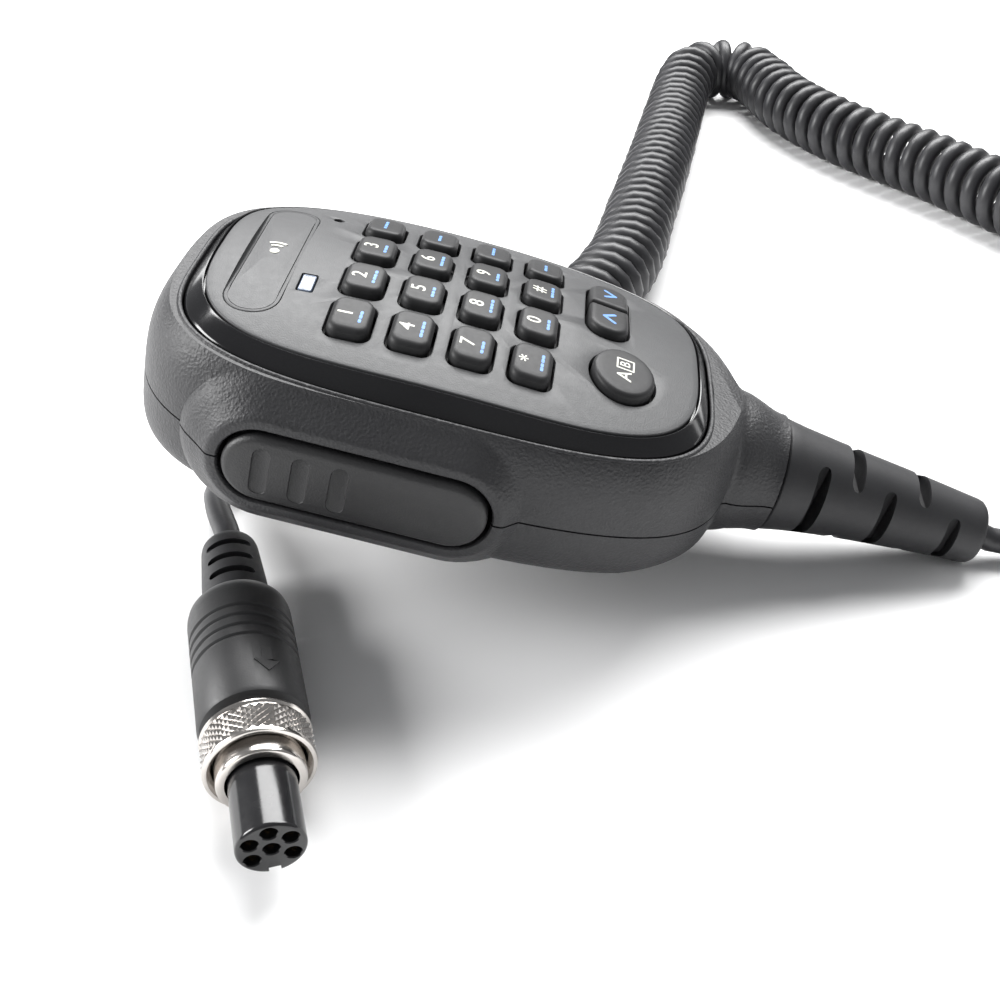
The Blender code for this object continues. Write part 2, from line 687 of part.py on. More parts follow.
SWITCH_X = PTT_MID_X - 7.0
SWITCH_Z = PARTING_Z + 3.0
SWITCH_OUT_Y = PIVOT_Y + 0.7
PLUNGER_REACH = PTT_IN_Y - GAP
SWITCH_TRAVEL = math.tan(PTT_SWING) * (PIVOT_X - SWITCH_X)
switch = placed(finished(box((SWITCH_X - 4.0, SWITCH_OUT_Y, SWITCH_Z - 2.8),
                             (SWITCH_X + 4.0, SWITCH_OUT_Y + 8.5, BOARD_Z - BOARD_THICK - GAP)),
                         "ptt_switch"), GLOSS, mic)


def along_y(x, z, low, high, radius, sides=16):
    ring = [(x + radius * math.cos(math.tau * i / sides), z + radius * math.sin(math.tau * i / sides))
            for i in range(sides)]
    return side_prism(ring, low, high)


boolean(switch, along_y(SWITCH_X, SWITCH_Z, SWITCH_OUT_Y - 2, SWITCH_OUT_Y + 4.4, 1.0 + GAP))
plunger = placed(finished(along_y(SWITCH_X, SWITCH_Z, -PLUNGER_REACH, SWITCH_OUT_Y + 2.4, 1.0),
                          "ptt_plunger"), KEY_RUBBER, mic)
move_origin(plunger, (SWITCH_X, SWITCH_OUT_Y, SWITCH_Z))

# ------------------------------------------------------------------ hanging button
BUTTON_X = -25.0
button_seat = bpy.data.objects.new("hang_button_seat", None)
parts.objects.link(button_seat)
button_seat.parent = mic
button_seat.location = Vector((BUTTON_X, 0.0, REAR_FACE_Z)) * MM
turned([(0, -0.3), (4.0, -0.3), (4.0, -3.2), (7.2, -3.4), (7.5, -3.8), (7.5, -4.9), (7.1, -5.3),
        (0, -5.3)], "hang_button", NICKEL, button_seat)
hole = drum(BUTTON_X, 0, REAR_FACE_Z - 4.0, REAR_FACE_Z + 1, 1.3 + GAP, 16)
button_cut = boolean(bpy.data.objects["hang_button"], hole)
button_cut.parent = mic
inside_z = REAR_FACE_Z + WALL + GAP
button_rings = []
for radius, z in ((1.3, REAR_FACE_Z - 3.7), (1.3, inside_z), (2.6, inside_z), (2.6, inside_z + 1.4),
                  (2.2, inside_z + 1.8)):
    button_rings.append([(BUTTON_X + radius * math.cos(math.tau * i / 16),
                          radius * math.sin(math.tau * i / 16), z) for i in range(16)])
placed(finished(loft(button_rings), "button_screw"), STEEL, mic)

# ------------------------------------------------------------------ strain relief and clamp
BORE = CABLE / 2 + GAP
STEM_RADIUS = NECK_RADIUS - WALL - GAP
relief_start = NECK_END_X + GAP


def droop(x):
    """How far the middle of the relief, and of the cord in it, sags below the neck's axis."""
    return RELIEF_DROOP * (max(x - relief_start, 0.0) / (RELIEF_END_X - relief_start)) ** 2


relief_profile = [
    (52.0, BORE), (52.0, STEM_RADIUS), (relief_start, STEM_RADIUS), (relief_start, 9.5),
    (relief_start + 0.5, 9.8), (64.0, 9.15), (70.0, 8.35), (77.0, 7.6), (84.0, 6.95), (91.0, 6.3),
    (RELIEF_END_X - 0.8, RELIEF_TIP_RADIUS), (RELIEF_END_X, RELIEF_TIP_RADIUS - 0.8),
    (RELIEF_END_X, BORE), (91.0, BORE), (84.0, BORE), (77.0, BORE), (70.0, BORE),
    (relief_start, BORE),
]
relief_rings = []
for x, radius in relief_profile:
    ring = ellipse(radius, radius, 2.0, count=28)
    relief_rings.append([(x, y, PARTING_Z - droop(x) + z) for y, z in ring])
relief = placed(finished(hoop(relief_rings), "strain_relief"), SOFT_RUBBER, mic)
FIRST_SLOT_X = 65.5
SLOT_STEP = 6.2
RIB_CORE = 3.6
for number in range(5):
    x = FIRST_SLOT_X + number * SLOT_STEP
    reach = 7.2 - 0.75 * number
    z = PARTING_Z - droop(x)
    for side in (1, -1):
        across = sorted((side * RIB_CORE, side * 14.0))
        if number % 2:
            slot = box((x, -reach, z + across[0]), (x + RELIEF_SLOT, reach, z + across[1]))
        else:
            slot = box((x, across[0], z - reach), (x + RELIEF_SLOT, across[1], z + reach))
        boolean(relief, slot)

CLAMP_X = 46.0
CORD_STRIPPED_X = 38.0   # where the sheath ends inside the case
places = [CORD_STRIPPED_X, 52.0, relief_start, 70.0, 77.0, 84.0, 91.0, RELIEF_END_X - GAP]
inner_cord = cord_tube([(x, 0.0, PARTING_Z - droop(x)) for x in places], CABLE, "cord_in_neck",
                       CORD_VINYL)
inner_cord.parent = mic
clamp = placed(finished(box((CLAMP_X - 2.5, -5.5, PARTING_Z - 7.0),
                            (CLAMP_X + 2.5, 5.5, PARTING_Z - GAP)), "cord_clamp"),
               MATTE, mic)
ring = [(y, PARTING_Z + z) for y, z in ellipse(BORE, BORE, 2.0, count=20)]
boolean(clamp, loft([[(x, y, z) for y, z in ring] for x in (CLAMP_X - 4, CLAMP_X + 4)]))

# ------------------------------------------------------------------ set it on the ground
bpy.context.view_layer.update()
graph = bpy.context.evaluated_depsgraph_get()
corners = []
for piece in parts.objects:
    if piece.type in ("MESH", "CURVE"):
        shown = piece.evaluated_get(graph)
        mesh = shown.to_mesh()
        corners += [shown.matrix_world @ vertex.co for vertex in mesh.vertices]
        shown.to_mesh_clear()
middle = [(min(c[i] for c in corners) + max(c[i] for c in corners)) / 2 for i in range(2)]
mic.location = (-middle[0], -middle[1], -min(c[2] for c in corners))
bpy.context.view_layer.update()
exit_place = Vector((RELIEF_END_X + GAP, 0.0, PARTING_Z - RELIEF_DROOP))
exit_point = mic.matrix_world @ (exit_place * MM) / MM
exit_heading = mic.matrix_world.to_3x3() @ Vector((1.0, 0.0, -0.07))

# ------------------------------------------------------------------ plug
PLUG_Z = PLUG_RADIUS + 0.1
plug = bpy.data.objects.new("plug_seat", None)
parts.objects.link(plug)
plug.location = Vector((*PLUG_AT, PLUG_Z)) * MM
plug.rotation_euler = Vector((*PLUG_HEADING, 0.0)).to_track_quat("Z", "Y").to_euler()

boot = turned([(0, BOOT_LONG - GAP), (5.3, BOOT_LONG - GAP), (5.2, 10.0), (4.7, 1.2), (4.1, 0.0),
               (0, 0.0)], "plug_boot", SOFT_RUBBER, plug, 24)
for number in range(3):
    z = 3.0 + 3.8 * number
    for side in (1, -1):
        across = sorted((side * 3.2, side * 9.0))
        boolean(boot, box((-3.6, across[0], z), (3.6, across[1], z + 1.4)))
body_profile = [(0, PLUG_BODY_END), (5.6, PLUG_BODY_END), (7.2, PLUG_BODY_END - 0.6),
                (PLUG_RADIUS, PLUG_BODY_END - 1.6)]
for z in (29.9, 27.7, 25.5, 23.3):
    body_profile += [(PLUG_RADIUS, z + 0.5), (PLUG_RADIUS - 0.35, z), (PLUG_RADIUS, z - 0.5)]
body_profile += [(PLUG_RADIUS, BOOT_LONG + 2.0), (PLUG_RADIUS - 0.7, BOOT_LONG + 0.7),
                 (6.4, BOOT_LONG), (0, BOOT_LONG)]
turned(body_profile, "plug_body", GRAINED, plug)
NUT_START = PLUG_BODY_END + GAP
turned([(RING_RADIUS + GAP, NUT_END), (NUT_RADIUS - 0.5, NUT_END), (NUT_RADIUS, NUT_END - 0.5),
        (NUT_RADIUS, NUT_START + 0.5), (NUT_RADIUS - 0.5, NUT_START),
        (RING_RADIUS + GAP, NUT_START)], "coupling_nut", NICKEL, plug, 48)
turned([(INSERT_RADIUS + GAP, RING_END), (RING_RADIUS - 0.4, RING_END),
        (RING_RADIUS, RING_END - 0.4), (RING_RADIUS, NUT_START + 0.2),
        (INSERT_RADIUS + GAP, NUT_START + 0.2)], "plug_sleeve", NICKEL, plug)
insert = turned([(0, INSERT_END), (INSERT_RADIUS - 0.3, INSERT_END),
                 (INSERT_RADIUS, INSERT_END - 0.3), (INSERT_RADIUS, NUT_START), (0, NUT_START)],
                "plug_insert", GLOSS, plug)
HOLE_DEEP = 7.0
HOLE_FLOOR = INSERT_END - HOLE_DEEP + GAP
CONTACT_END = INSERT_END - 2.6
CONTACT_BORE = 0.42
holes = [(0.0, 0.0)]
for number in range(5):
    angle = math.radians(-90 + 60 * (number + 1))
    holes.append((CONTACT_CIRCLE * math.cos(angle), CONTACT_CIRCLE * math.sin(angle)))
for number, (x, y) in enumerate(holes, 1):
    boolean(insert, drum(x, y, INSERT_END - HOLE_DEEP, INSERT_END + 2, CONTACT_RADIUS + GAP, 12))
    seat = bpy.data.objects.new(f"contact_seat_{number}", None)
    parts.objects.link(seat)
    seat.parent = plug
    seat.location = Vector((x, y, 0.0)) * MM
    turned([(0, HOLE_FLOOR + 0.9), (CONTACT_BORE, HOLE_FLOOR + 0.9), (CONTACT_BORE, CONTACT_END),
            (CONTACT_RADIUS, CONTACT_END), (CONTACT_RADIUS, HOLE_FLOOR), (0, HOLE_FLOOR)],
           f"contact_{number}", GOLD, seat, 12)
boolean(insert, box((-0.8, -6.0, INSERT_END - 9.0), (0.8, -INSERT_RADIUS + 1.1, INSERT_END + 1)))

# ------------------------------------------------------------------ the cord, as it lies
HOP = CURL / 2 + 0.1
lead_route = [
    tuple(exit_point), tuple(exit_point + exit_heading * 6.0),
    (97.1, 0.5, 3.6), (106.1, 4.5, 4.4), (112.6, 12.0, 7.0),
]
curl_route = [
    (113.1, 13.0, HOP), (122.1, 31.0, HOP), (129.1, 52.0, HOP), (132.1, 76.0, HOP),
    (128.6, 101.0, HOP), (120.1, 122.5, HOP), (107.6, 141.0, HOP), (91.6, 163.0, HOP),
    (71.6, 186.0, HOP), (58.1, 209.0, HOP), (50.6, 232.5, HOP), (46.1, 241.5, HOP),
    (37.6, 244.5, HOP), (29.6, 240.0, HOP), (25.6, 229.0, HOP), (21.1, 196.0, HOP),
    (16.6, 160.0, HOP), (11.6, 124.0, HOP), (6.6, 92.0, HOP), (-4.4, 64.0, HOP),
    (-19.9, BODY_HALF_WIDE + 10.8, HOP), (-32.9, BODY_HALF_WIDE - 7.2, HOP), (-39.9, 12.0, HOP),
]
tail_route = [
    (-40.9, 10.6, 6.0), (-44.9, 6.0, 3.6), (-51.4, 5.0, 2.6), (-57.9, 8.5, 2.6),
    (-63.9, 8.5, 3.0), (-65.9, 2.5, 4.2), (-63.5, -5.2, 6.4),
    (PLUG_AT[0] - PLUG_HEADING[0] * 5, PLUG_AT[1] - PLUG_HEADING[1] * 5, PLUG_Z - 0.4),
    (PLUG_AT[0] - PLUG_HEADING[0] * GAP, PLUG_AT[1] - PLUG_HEADING[1] * GAP, PLUG_Z),
]
cord_tube(smooth_route(lead_route, 7.0), CABLE, "cord_lead", CORD_VINYL)
cord_tube(smooth_route(curl_route, 14.0), CURL, "curly_cord", CORD_VINYL, 4)
cord_tube(smooth_route(tail_route, 7.0), CABLE, "cord_tail", CORD_VINYL)
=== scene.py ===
"""A mobile radio's hand microphone, with its curly cord and plug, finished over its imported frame."""

import json
import math

import bmesh
import bpy
from mathutils import Matrix, Vector

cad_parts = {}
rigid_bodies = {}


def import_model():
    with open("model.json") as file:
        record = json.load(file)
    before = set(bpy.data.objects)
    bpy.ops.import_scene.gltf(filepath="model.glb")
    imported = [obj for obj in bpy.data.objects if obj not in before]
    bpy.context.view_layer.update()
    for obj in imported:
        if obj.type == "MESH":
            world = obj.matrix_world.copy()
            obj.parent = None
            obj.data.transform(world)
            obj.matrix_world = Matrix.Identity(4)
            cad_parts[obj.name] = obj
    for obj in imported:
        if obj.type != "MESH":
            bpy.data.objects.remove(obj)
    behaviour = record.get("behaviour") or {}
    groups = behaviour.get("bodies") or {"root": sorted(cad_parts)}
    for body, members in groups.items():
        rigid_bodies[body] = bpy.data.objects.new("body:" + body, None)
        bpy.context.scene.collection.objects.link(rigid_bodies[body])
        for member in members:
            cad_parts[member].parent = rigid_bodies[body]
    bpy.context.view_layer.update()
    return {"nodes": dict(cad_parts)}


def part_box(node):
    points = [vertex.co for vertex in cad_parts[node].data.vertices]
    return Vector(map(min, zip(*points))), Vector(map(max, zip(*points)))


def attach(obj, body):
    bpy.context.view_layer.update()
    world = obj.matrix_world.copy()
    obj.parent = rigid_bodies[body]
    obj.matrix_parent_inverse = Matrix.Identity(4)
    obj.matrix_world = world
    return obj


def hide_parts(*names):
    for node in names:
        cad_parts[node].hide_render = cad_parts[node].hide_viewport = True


for starter in list(bpy.data.objects):
    bpy.data.objects.remove(starter, do_unlink=True)
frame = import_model()
MM = 0.001

# ------------------------------------------------------------------ the studio
# A sheet of white paper on a table, lit by one large soft lamp above and behind it and a
# smaller one on the left.  The pale room keeps the near side of a black object readable.
scene = bpy.context.scene
scene.view_settings.view_transform = "Standard"
scene.view_settings.look = "None"

CAMERA_AT = Vector((0.0028, -0.1702, 0.1363))
CAMERA_RIGHT = Vector((0.9956, 0.0940, 0.0))
CAMERA_FORWARD = Vector((-0.0752, 0.7955, -0.6020))
camera = bpy.data.objects.new("camera", bpy.data.cameras.new("camera"))
scene.collection.objects.link(camera)
camera.data.sensor_width = 36.0
camera.data.lens = 43.2
camera.data.clip_start = 0.01
camera_up = CAMERA_RIGHT.cross(CAMERA_FORWARD)
camera.matrix_world = Matrix((CAMERA_RIGHT, camera_up, -CAMERA_FORWARD)).transposed().to_4x4()
camera.location = CAMERA_AT
scene.camera = camera

PAPER_HALF = 3.0
paper_mesh = bpy.data.meshes.new("paper")
paper_corners = [(-PAPER_HALF, -PAPER_HALF, 0), (PAPER_HALF, -PAPER_HALF, 0),
                 (PAPER_HALF, PAPER_HALF, 0), (-PAPER_HALF, PAPER_HALF, 0)]
paper_mesh.from_pydata(paper_corners, [], [(0, 1, 2, 3)])
paper = bpy.data.objects.new("paper", paper_mesh)
scene.collection.objects.link(paper)
paper_coat = bpy.data.materials.new("white_paper")
paper_coat.use_nodes = True
paper_shader = paper_coat.node_tree.nodes["Principled BSDF"]
paper_shader.inputs["Base Color"].default_value = (0.92, 0.92, 0.92, 1.0)
paper_shader.inputs["Roughness"].default_value = 0.9
paper_shader.inputs["Specular IOR Level"].default_value = 0.1
paper_mesh.materials.append(paper_coat)

world = bpy.data.worlds.new("room")
scene.world = world
world.use_nodes = True
world.node_tree.nodes["Background"].inputs["Color"].default_value = (0.97, 0.98, 1.0, 1.0)
world.node_tree.nodes["Background"].inputs["Strength"].default_value = 0.30


def lamp(name, at, aim, wide, high, watts):
    """A soft rectangular lamp that faces a point."""
    light = bpy.data.lights.new(name, "AREA")
    light.shape = "RECTANGLE"
    light.size = wide
    light.size_y = high
    light.energy = watts
    made = bpy.data.objects.new(name, light)
    scene.collection.objects.link(made)
    made.location = at
    made.rotation_euler = (Vector(at) - Vector(aim)).to_track_quat("Z", "Y").to_euler()
    return made


lamp("back_lamp", (0.10, 0.82, 0.98), (0.0, 0.05, 0.0), 1.3, 0.7, 40.0)
lamp("left_lamp", (-0.95, -0.15, 0.50), (0.0, 0.0, 0.02), 0.5, 0.5, 15.0)

# ------------------------------------------------------------------ the cord
# A vinyl cord, wound hot round a rod so that it springs back into a close coil.  It
# leaves the microphone's strain relief straight, and ends straight in the plug's boot.
CABLE = 4.4
COIL_WIDE = 18.5
TIP_UP = math.radians(13.7)
PIVOT = Vector((10.5, -27.3, -20.5))
RELIEF_END_X = 98.0
PARTING_Z = -20.5
GAP = 0.3
PLUG_AT = Vector((-57.2, -19.0, 8.1))
PLUG_HEADING = Vector((0.350, -0.937, 0.0)).normalized()
COIL_MID_Z = COIL_WIDE / 2 + 0.1

tilt = Matrix.Rotation(TIP_UP, 4, "Y")
pin_low, pin_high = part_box("ptt_pin")
seat = Matrix.Translation((pin_low + pin_high) / 2 - tilt @ (PIVOT * MM)) @ tilt
seat = seat @ Matrix.Scale(MM, 4)

RELIEF_DROOP = 1.3
lead_route = [seat @ Vector((RELIEF_END_X + GAP + away, 0.0, PARTING_Z - RELIEF_DROOP - 0.07 * away))
              / MM for away in (0.0, 6.0)]
lead_route += [(97.1, 0.5, 3.6), (106.1, 4.5, 4.4), (112.6, 12.0, 7.0)]
coil_route = [
    (113.1, 13.0), (122.1, 31.0), (129.1, 52.0), (132.1, 76.0), (128.6, 101.0), (120.1, 122.5),
    (107.6, 141.0), (91.6, 163.0), (71.6, 186.0), (58.1, 209.0), (50.6, 232.5), (46.1, 241.5),
    (37.6, 244.5), (29.6, 240.0), (25.6, 229.0), (21.1, 196.0), (16.6, 160.0), (11.6, 124.0),
    (6.6, 92.0), (-4.4, 64.0), (-19.9, 42.0), (-32.9, 24.0), (-39.9, 12.0),
]
coil_route = [(x, y, COIL_MID_Z) for x, y in coil_route]
tail_route = [
    (-40.9, 10.6, 6.0), (-44.9, 6.0, 3.6), (-51.4, 5.0, 2.6), (-57.9, 8.5, 2.6),
    (-63.9, 8.5, 3.0), (-65.9, 2.5, 4.2), (-63.5, -5.2, 6.4),
    PLUG_AT - PLUG_HEADING * 5.0 - Vector((0, 0, 0.4)), PLUG_AT - PLUG_HEADING * GAP,
]


def smooth_route(route, spacing):
    """Points about this far apart on one smooth curve through the route's own points."""
    nodes = [Vector(point) for point in route]
    nodes = [nodes[0] * 2 - nodes[1]] + nodes + [nodes[-1] * 2 - nodes[-2]]
    found = []
    for a, b, c, d in zip(nodes, nodes[1:], nodes[2:], nodes[3:]):
        count = max(1, round((c - b).length / spacing))
        for i in range(count):
            t = i / count
            found.append(0.5 * (2 * b + (c - a) * t + (2 * a - 5 * b + 4 * c - d) * t * t
                                + (3 * b - a - 3 * c + d) * t ** 3))
    return found + [nodes[-2]]


def eased(t):
    t = min(max(t, 0.0), 1.0)
    return t * t * (3 - 2 * t)


COIL_RADIUS = (COIL_WIDE - CABLE) / 2
CLOSE_PITCH = CABLE + 0.06
OPEN_PITCH = 5.6
BEND_PITCH = 7.5
STEPS_A_TURN = 30
RAMP = 16.0                  # over which the straight cord winds up to the coil's width


def coil_pitch(share):
    """Distance from turn to turn, at a share of the way along the coil."""
    at_bend = math.exp(-((share - 0.545) / 0.045) ** 2)
    spread = OPEN_PITCH + (CLOSE_PITCH - OPEN_PITCH) * eased((share - 0.50) / 0.08)
    return spread + (BEND_PITCH - spread) * at_bend


def cord_line():
    """The middle of the cord from the strain relief to the plug, coil and all."""
    coil = smooth_route(coil_route, 0.3)
    along = [0.0]
    for a, b in zip(coil, coil[1:]):
        along.append(along[-1] + (b - a).length)
    whole = along[-1]
    line = smooth_route(lead_route, 2.0)
    turn = 0.0
    drawn = 0.0
    for i in range(1, len(coil) - 1):
        turn -= math.tau * (along[i] - along[i - 1]) / coil_pitch(along[i] / whole)
        drawn += math.tau * (along[i] - along[i - 1]) / coil_pitch(along[i] / whole)
        if drawn < math.tau / STEPS_A_TURN:
            continue
        drawn = 0.0
        heading = (coil[i + 1] - coil[i - 1]).normalized()
        side = heading.cross(Vector((0, 0, 1))).normalized()
        up = side.cross(heading)
        wide = COIL_RADIUS * eased(along[i] / RAMP) * eased((whole - along[i]) / RAMP)
        line.append(coil[i] + wide * (math.cos(turn) * up + math.sin(turn) * -side))
    return line + smooth_route(tail_route, 2.0)


def coat(name, colour, roughness, metallic=0.0, specular=0.5):
    """A material whose even settings sit on its own shader."""
    made = bpy.data.materials.new(name)
    made.use_nodes = True
    shader = made.node_tree.nodes["Principled BSDF"]
    shader.inputs["Base Color"].default_value = (*colour, 1.0)
    shader.inputs["Roughness"].default_value = roughness
    shader.inputs["Metallic"].default_value = metallic
    shader.inputs["Specular IOR Level"].default_value = specular
    return made


def add(coating, kind, **settings):
    """One more node in a material, with its settings and inputs."""
    node = coating.node_tree.nodes.new(kind)
    for key, value in settings.items():
        if hasattr(node, key):
            setattr(node, key, value)
        else:
            node.inputs[key.replace("_", " ")].default_value = value
    return node


def noise(coating, size, detail=2.0):
    """Noise with features of about this size in millimetres, fixed to the piece."""
    tree = coating.node_tree
    place = tree.nodes.get("place") or add(coating, "ShaderNodeTexCoord", name="place")
    node = add(coating, "ShaderNodeTexNoise", Scale=1.0 / (size * MM), Detail=detail)
    tree.links.new(place.outputs["Object"], node.inputs["Vector"])
    return node.outputs["Fac"]


def mottle(coating, source, dark, light, low=0.35, high=0.65):
    """Colours the shader between two shades where a source goes from low to high."""
    ramp = add(coating, "ShaderNodeValToRGB")
    ramp.color_ramp.elements[0].position = low
    ramp.color_ramp.elements[1].position = high
    ramp.color_ramp.elements[0].color = (*dark, 1.0)
    ramp.color_ramp.elements[1].color = (*light, 1.0)
    shader = coating.node_tree.nodes["Principled BSDF"]
    coating.node_tree.links.new(source, ramp.inputs["Fac"])
    coating.node_tree.links.new(ramp.outputs["Color"], shader.inputs["Base Color"])


def roughen(coating, source, smooth, rough):
    """Varies the shader's roughness with a source."""
    spread = add(coating, "ShaderNodeMapRange", To_Min=smooth, To_Max=rough)
    shader = coating.node_tree.nodes["Principled BSDF"]
    coating.node_tree.links.new(source, spread.inputs["Value"])
    coating.node_tree.links.new(spread.outputs["Result"], shader.inputs["Roughness"])


def emboss(coating, source, height, strength=1.0):
    """Bumps of this height in millimetres, on top of any bumps already there."""
    tree = coating.node_tree
    shader = tree.nodes["Principled BSDF"]
    bump = add(coating, "ShaderNodeBump", Strength=strength, Distance=height * MM)
    under = shader.inputs["Normal"].links
    if under:
        tree.links.new(under[0].from_socket, bump.inputs["Normal"])
    tree.links.new(source, bump.inputs["Height"])
    tree.links.new(bump.outputs["Normal"], shader.inputs["Normal"])


VINYL = coat("satin_black_vinyl", (0.020, 0.020, 0.022), 0.42)
mottle(VINYL, noise(VINYL, 9.0), (0.017, 0.017, 0.019), (0.024, 0.024, 0.027))
roughen(VINYL, noise(VINYL, 1.6, 3.0), 0.36, 0.52)
emboss(VINYL, noise(VINYL, 0.35), 0.02)

cord_points = [Vector(point) * MM for point in cord_line()]
cord_curve = bpy.data.curves.new("cord", "CURVE")
cord_curve.dimensions = "3D"
cord_curve.bevel_depth = CABLE / 2 * MM
cord_curve.bevel_resolution = 4
cord_curve.use_fill_caps = True
strand = cord_curve.splines.new("POLY")
strand.points.add(len(cord_points) - 1)
for knot, point in zip(strand.points, cord_points):
    knot.co = (*point, 1.0)
strand.use_smooth = True
cord_curve.materials.append(VINYL)
cord = bpy.data.objects.new("cord", cord_curve)
scene.collection.objects.link(cord)
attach(cord, "case")
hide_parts("cord_lead", "curly_cord", "cord_tail")

# ------------------------------------------------------------------ the case shells
# The case is two moulded shells of grained black plastic that meet at a parting line and
# narrow to a round neck.  A raised collar stands round the lever's pocket, and a thin lip
# runs round the opening for the face.  Four screws from the back hold the shells together.
FACE_MID_X, FACE_HALF_LONG, FACE_HALF_WIDE, FACE_POWER = 1.9, 39.5, 25.2, 3.5
BEZEL_WIDE = 2.7
RIM_Z = -7.8
WALL = 2.4
TOP_END_X, TOP_SPRING_X, NECK_END_X = -46.0, -12.0, 59.5
PTT_MID_X, PTT_HALF_LONG, PTT_HALF_HIGH, PTT_CLEARANCE = -7.0, 20.0, 5.8, 0.65


def loft(rings, closed=False):
    """A closed body through rings of equal numbers of points."""
    shape = bmesh.new()
    rows = [[shape.verts.new(point) for point in ring] for ring in rings]
    for low, high in zip(rows, rows[1:] + rows[:1] if closed else rows[1:]):
        for i in range(len(low)):
            j = (i + 1) % len(low)
            shape.faces.new((low[i], low[j], high[j], high[i]))
    if not closed:
        shape.faces.new(rows[0])
        shape.faces.new(rows[-1])
    return shape


def mesh_of(name, coats, place):
    """One mesh of several shapes in millimetres, each with its own coating."""
    whole = bmesh.new()
    used = []
    for shape, coating in coats:
        bmesh.ops.recalc_face_normals(shape, faces=shape.faces)
        if coating not in used:
            used.append(coating)
        for facet in shape.faces:
            facet.material_index = used.index(coating)
        passing = bpy.data.meshes.new("passing")
        shape.to_mesh(passing)
        shape.free()
        whole.from_mesh(passing)
        bpy.data.meshes.remove(passing)
    mesh = bpy.data.meshes.new(name)
    whole.to_mesh(mesh)
    whole.free()
    mesh.transform(place)
    for coating in used:
        mesh.materials.append(coating)
    return mesh


def carve(made, place, cuts):
    """Cuts shapes from a piece, or joins them to it, and keeps the outcome as its mesh."""
    tools = []
    for shape, operation in cuts:
        tool = bpy.data.objects.new("tool", mesh_of("tool", [(shape, None)], place))
        scene.collection.objects.link(tool)
        tools.append(tool)
        step = made.modifiers.new("carve", "BOOLEAN")
        step.object = tool
        step.operation = operation
        step.solver = "MANIFOLD"
    bpy.context.view_layer.update()
    graph = bpy.context.evaluated_depsgraph_get()
    made.data = bpy.data.meshes.new_from_object(made.evaluated_get(graph), depsgraph=graph)
    made.modifiers.clear()
    for tool in tools:
        bpy.data.objects.remove(tool, do_unlink=True)


def piece(name, coats, body, stands_for, place=seat, cuts=(), corner=32):
    """Sets a finished piece down where the CAD's own pieces are, on the body it rides."""
    made = bpy.data.objects.new(name, mesh_of(name, coats, place))
    scene.collection.objects.link(made)
    if cuts:
        carve(made, place, cuts)
    made.data.shade_smooth()
    made.data.set_sharp_from_angle(angle=math.radians(corner))
    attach(made, body)
    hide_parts(*stands_for)
    return made


def bent_power(a, power):
    return math.copysign(abs(a) ** (2 / power), a)


def outline_of(half_x, half_y, power, mid_x, mid_y, count=200):
    """A rounded outline: power 2 is an ellipse, and a higher one is squarer."""
    turns = [math.tau * (i + 0.5) / count for i in range(count)]
    return [(mid_x + half_x * bent_power(math.cos(a), power),
             mid_y + half_y * bent_power(math.sin(a), power)) for a in turns]


def face_outline(spread, count=200):
    return outline_of(FACE_HALF_LONG + spread, FACE_HALF_WIDE + spread, FACE_POWER, FACE_MID_X, 0.0,
                      count)


def taper(x, power, start, long):
    """1 along the body, falling to 0 where the body's end is."""
    t = min(max((x - start) / long, 0.0), 1.0)
    return max(1 - t ** power, 0.0) ** (1 / power)


def section(x, inset):
    """Half width, rise above the parting and depth below it, at a place along the body."""
    end_long = TOP_SPRING_X - TOP_END_X - inset
    end = taper(-x, 2.7, -TOP_SPRING_X, end_long)
    wide = (31.2 - inset) * end * taper(x, 3.3, -5.0, 56.0 - inset)
    rise = (22.0 - inset) * end * taper(x, 3.3, -5.0, 57.0 - inset)
    deep = (12.5 - inset) * taper(x, 4.0, -5.0, 58.0 - inset) * taper(-x, 6.0, 12.0, end_long)
    if x > 0:
        away = NECK_END_X - x
        flare = 0.085 * away ** 2 * math.exp(-(away / 8) ** 2)
        neck = 10.3 - inset + flare
        wide, rise = [(size ** 8 + neck ** 8) ** 0.125 for size in (wide, rise)]
        deep = (deep ** 8 + (neck - 0.6 * flare) ** 8) ** 0.125
    return wide, rise, deep


def half_body(front, inset, across, along):
    """The front or rear half of the body, reaching 1 mm past the parting."""
    sign = 1 if front else -1
    end_long = TOP_SPRING_X - TOP_END_X - inset
    places = [TOP_SPRING_X - end_long * math.sin(math.radians(89.4 * (1 - i / along))) ** (2 / 2.7)
              for i in range(along)]
    places += [TOP_SPRING_X + i * 48.0 / along for i in range(along)]
    places += [36.0 + i * (NECK_END_X - 36.0) / along for i in range(along + 1)]
    if inset:
        places.append(NECK_END_X + 1.0)
    rings = []
    for x in places:
        wide, rise, deep = section(min(x, NECK_END_X), inset)
        squared = min(max((x - 36.0) / 18.0, 0.0), 1.0)
        power = (3.0 if front else 4.5) * (1 - squared) + 2.0 * squared
        fine = []
        for i in range(721):
            angle = math.pi * i / 720
            fine.append((-wide * bent_power(math.cos(angle), power),
                         sign * (rise if front else deep) * abs(math.sin(angle)) ** (2 / power)))
        run = [0.0]
        for a, b in zip(fine, fine[1:]):
            run.append(run[-1] + math.dist(a, b))
        ring = [(x, wide, PARTING_Z - sign), (x, -wide, PARTING_Z - sign)]
        at = 0
        for i in range(across + 1):
            while at < 720 and run[at] < run[-1] * i / across - 1e-9:
                at += 1
            ring.append((x, fine[at][0], PARTING_Z + fine[at][1]))
        rings.append(ring)
    return loft(rings)


def stadium(half_long, half_high, steps=24):
    """Outline of the lever, in (x, z)."""
    found = []
    for end in (1, -1):
        for i in range(steps + 1):
            angle = math.pi * (i / steps - 0.5) + (0 if end > 0 else math.pi)
            found.append((PTT_MID_X + end * (half_long - half_high) + half_high * math.cos(angle),
                          PARTING_Z + half_high * math.sin(angle)))
    return found


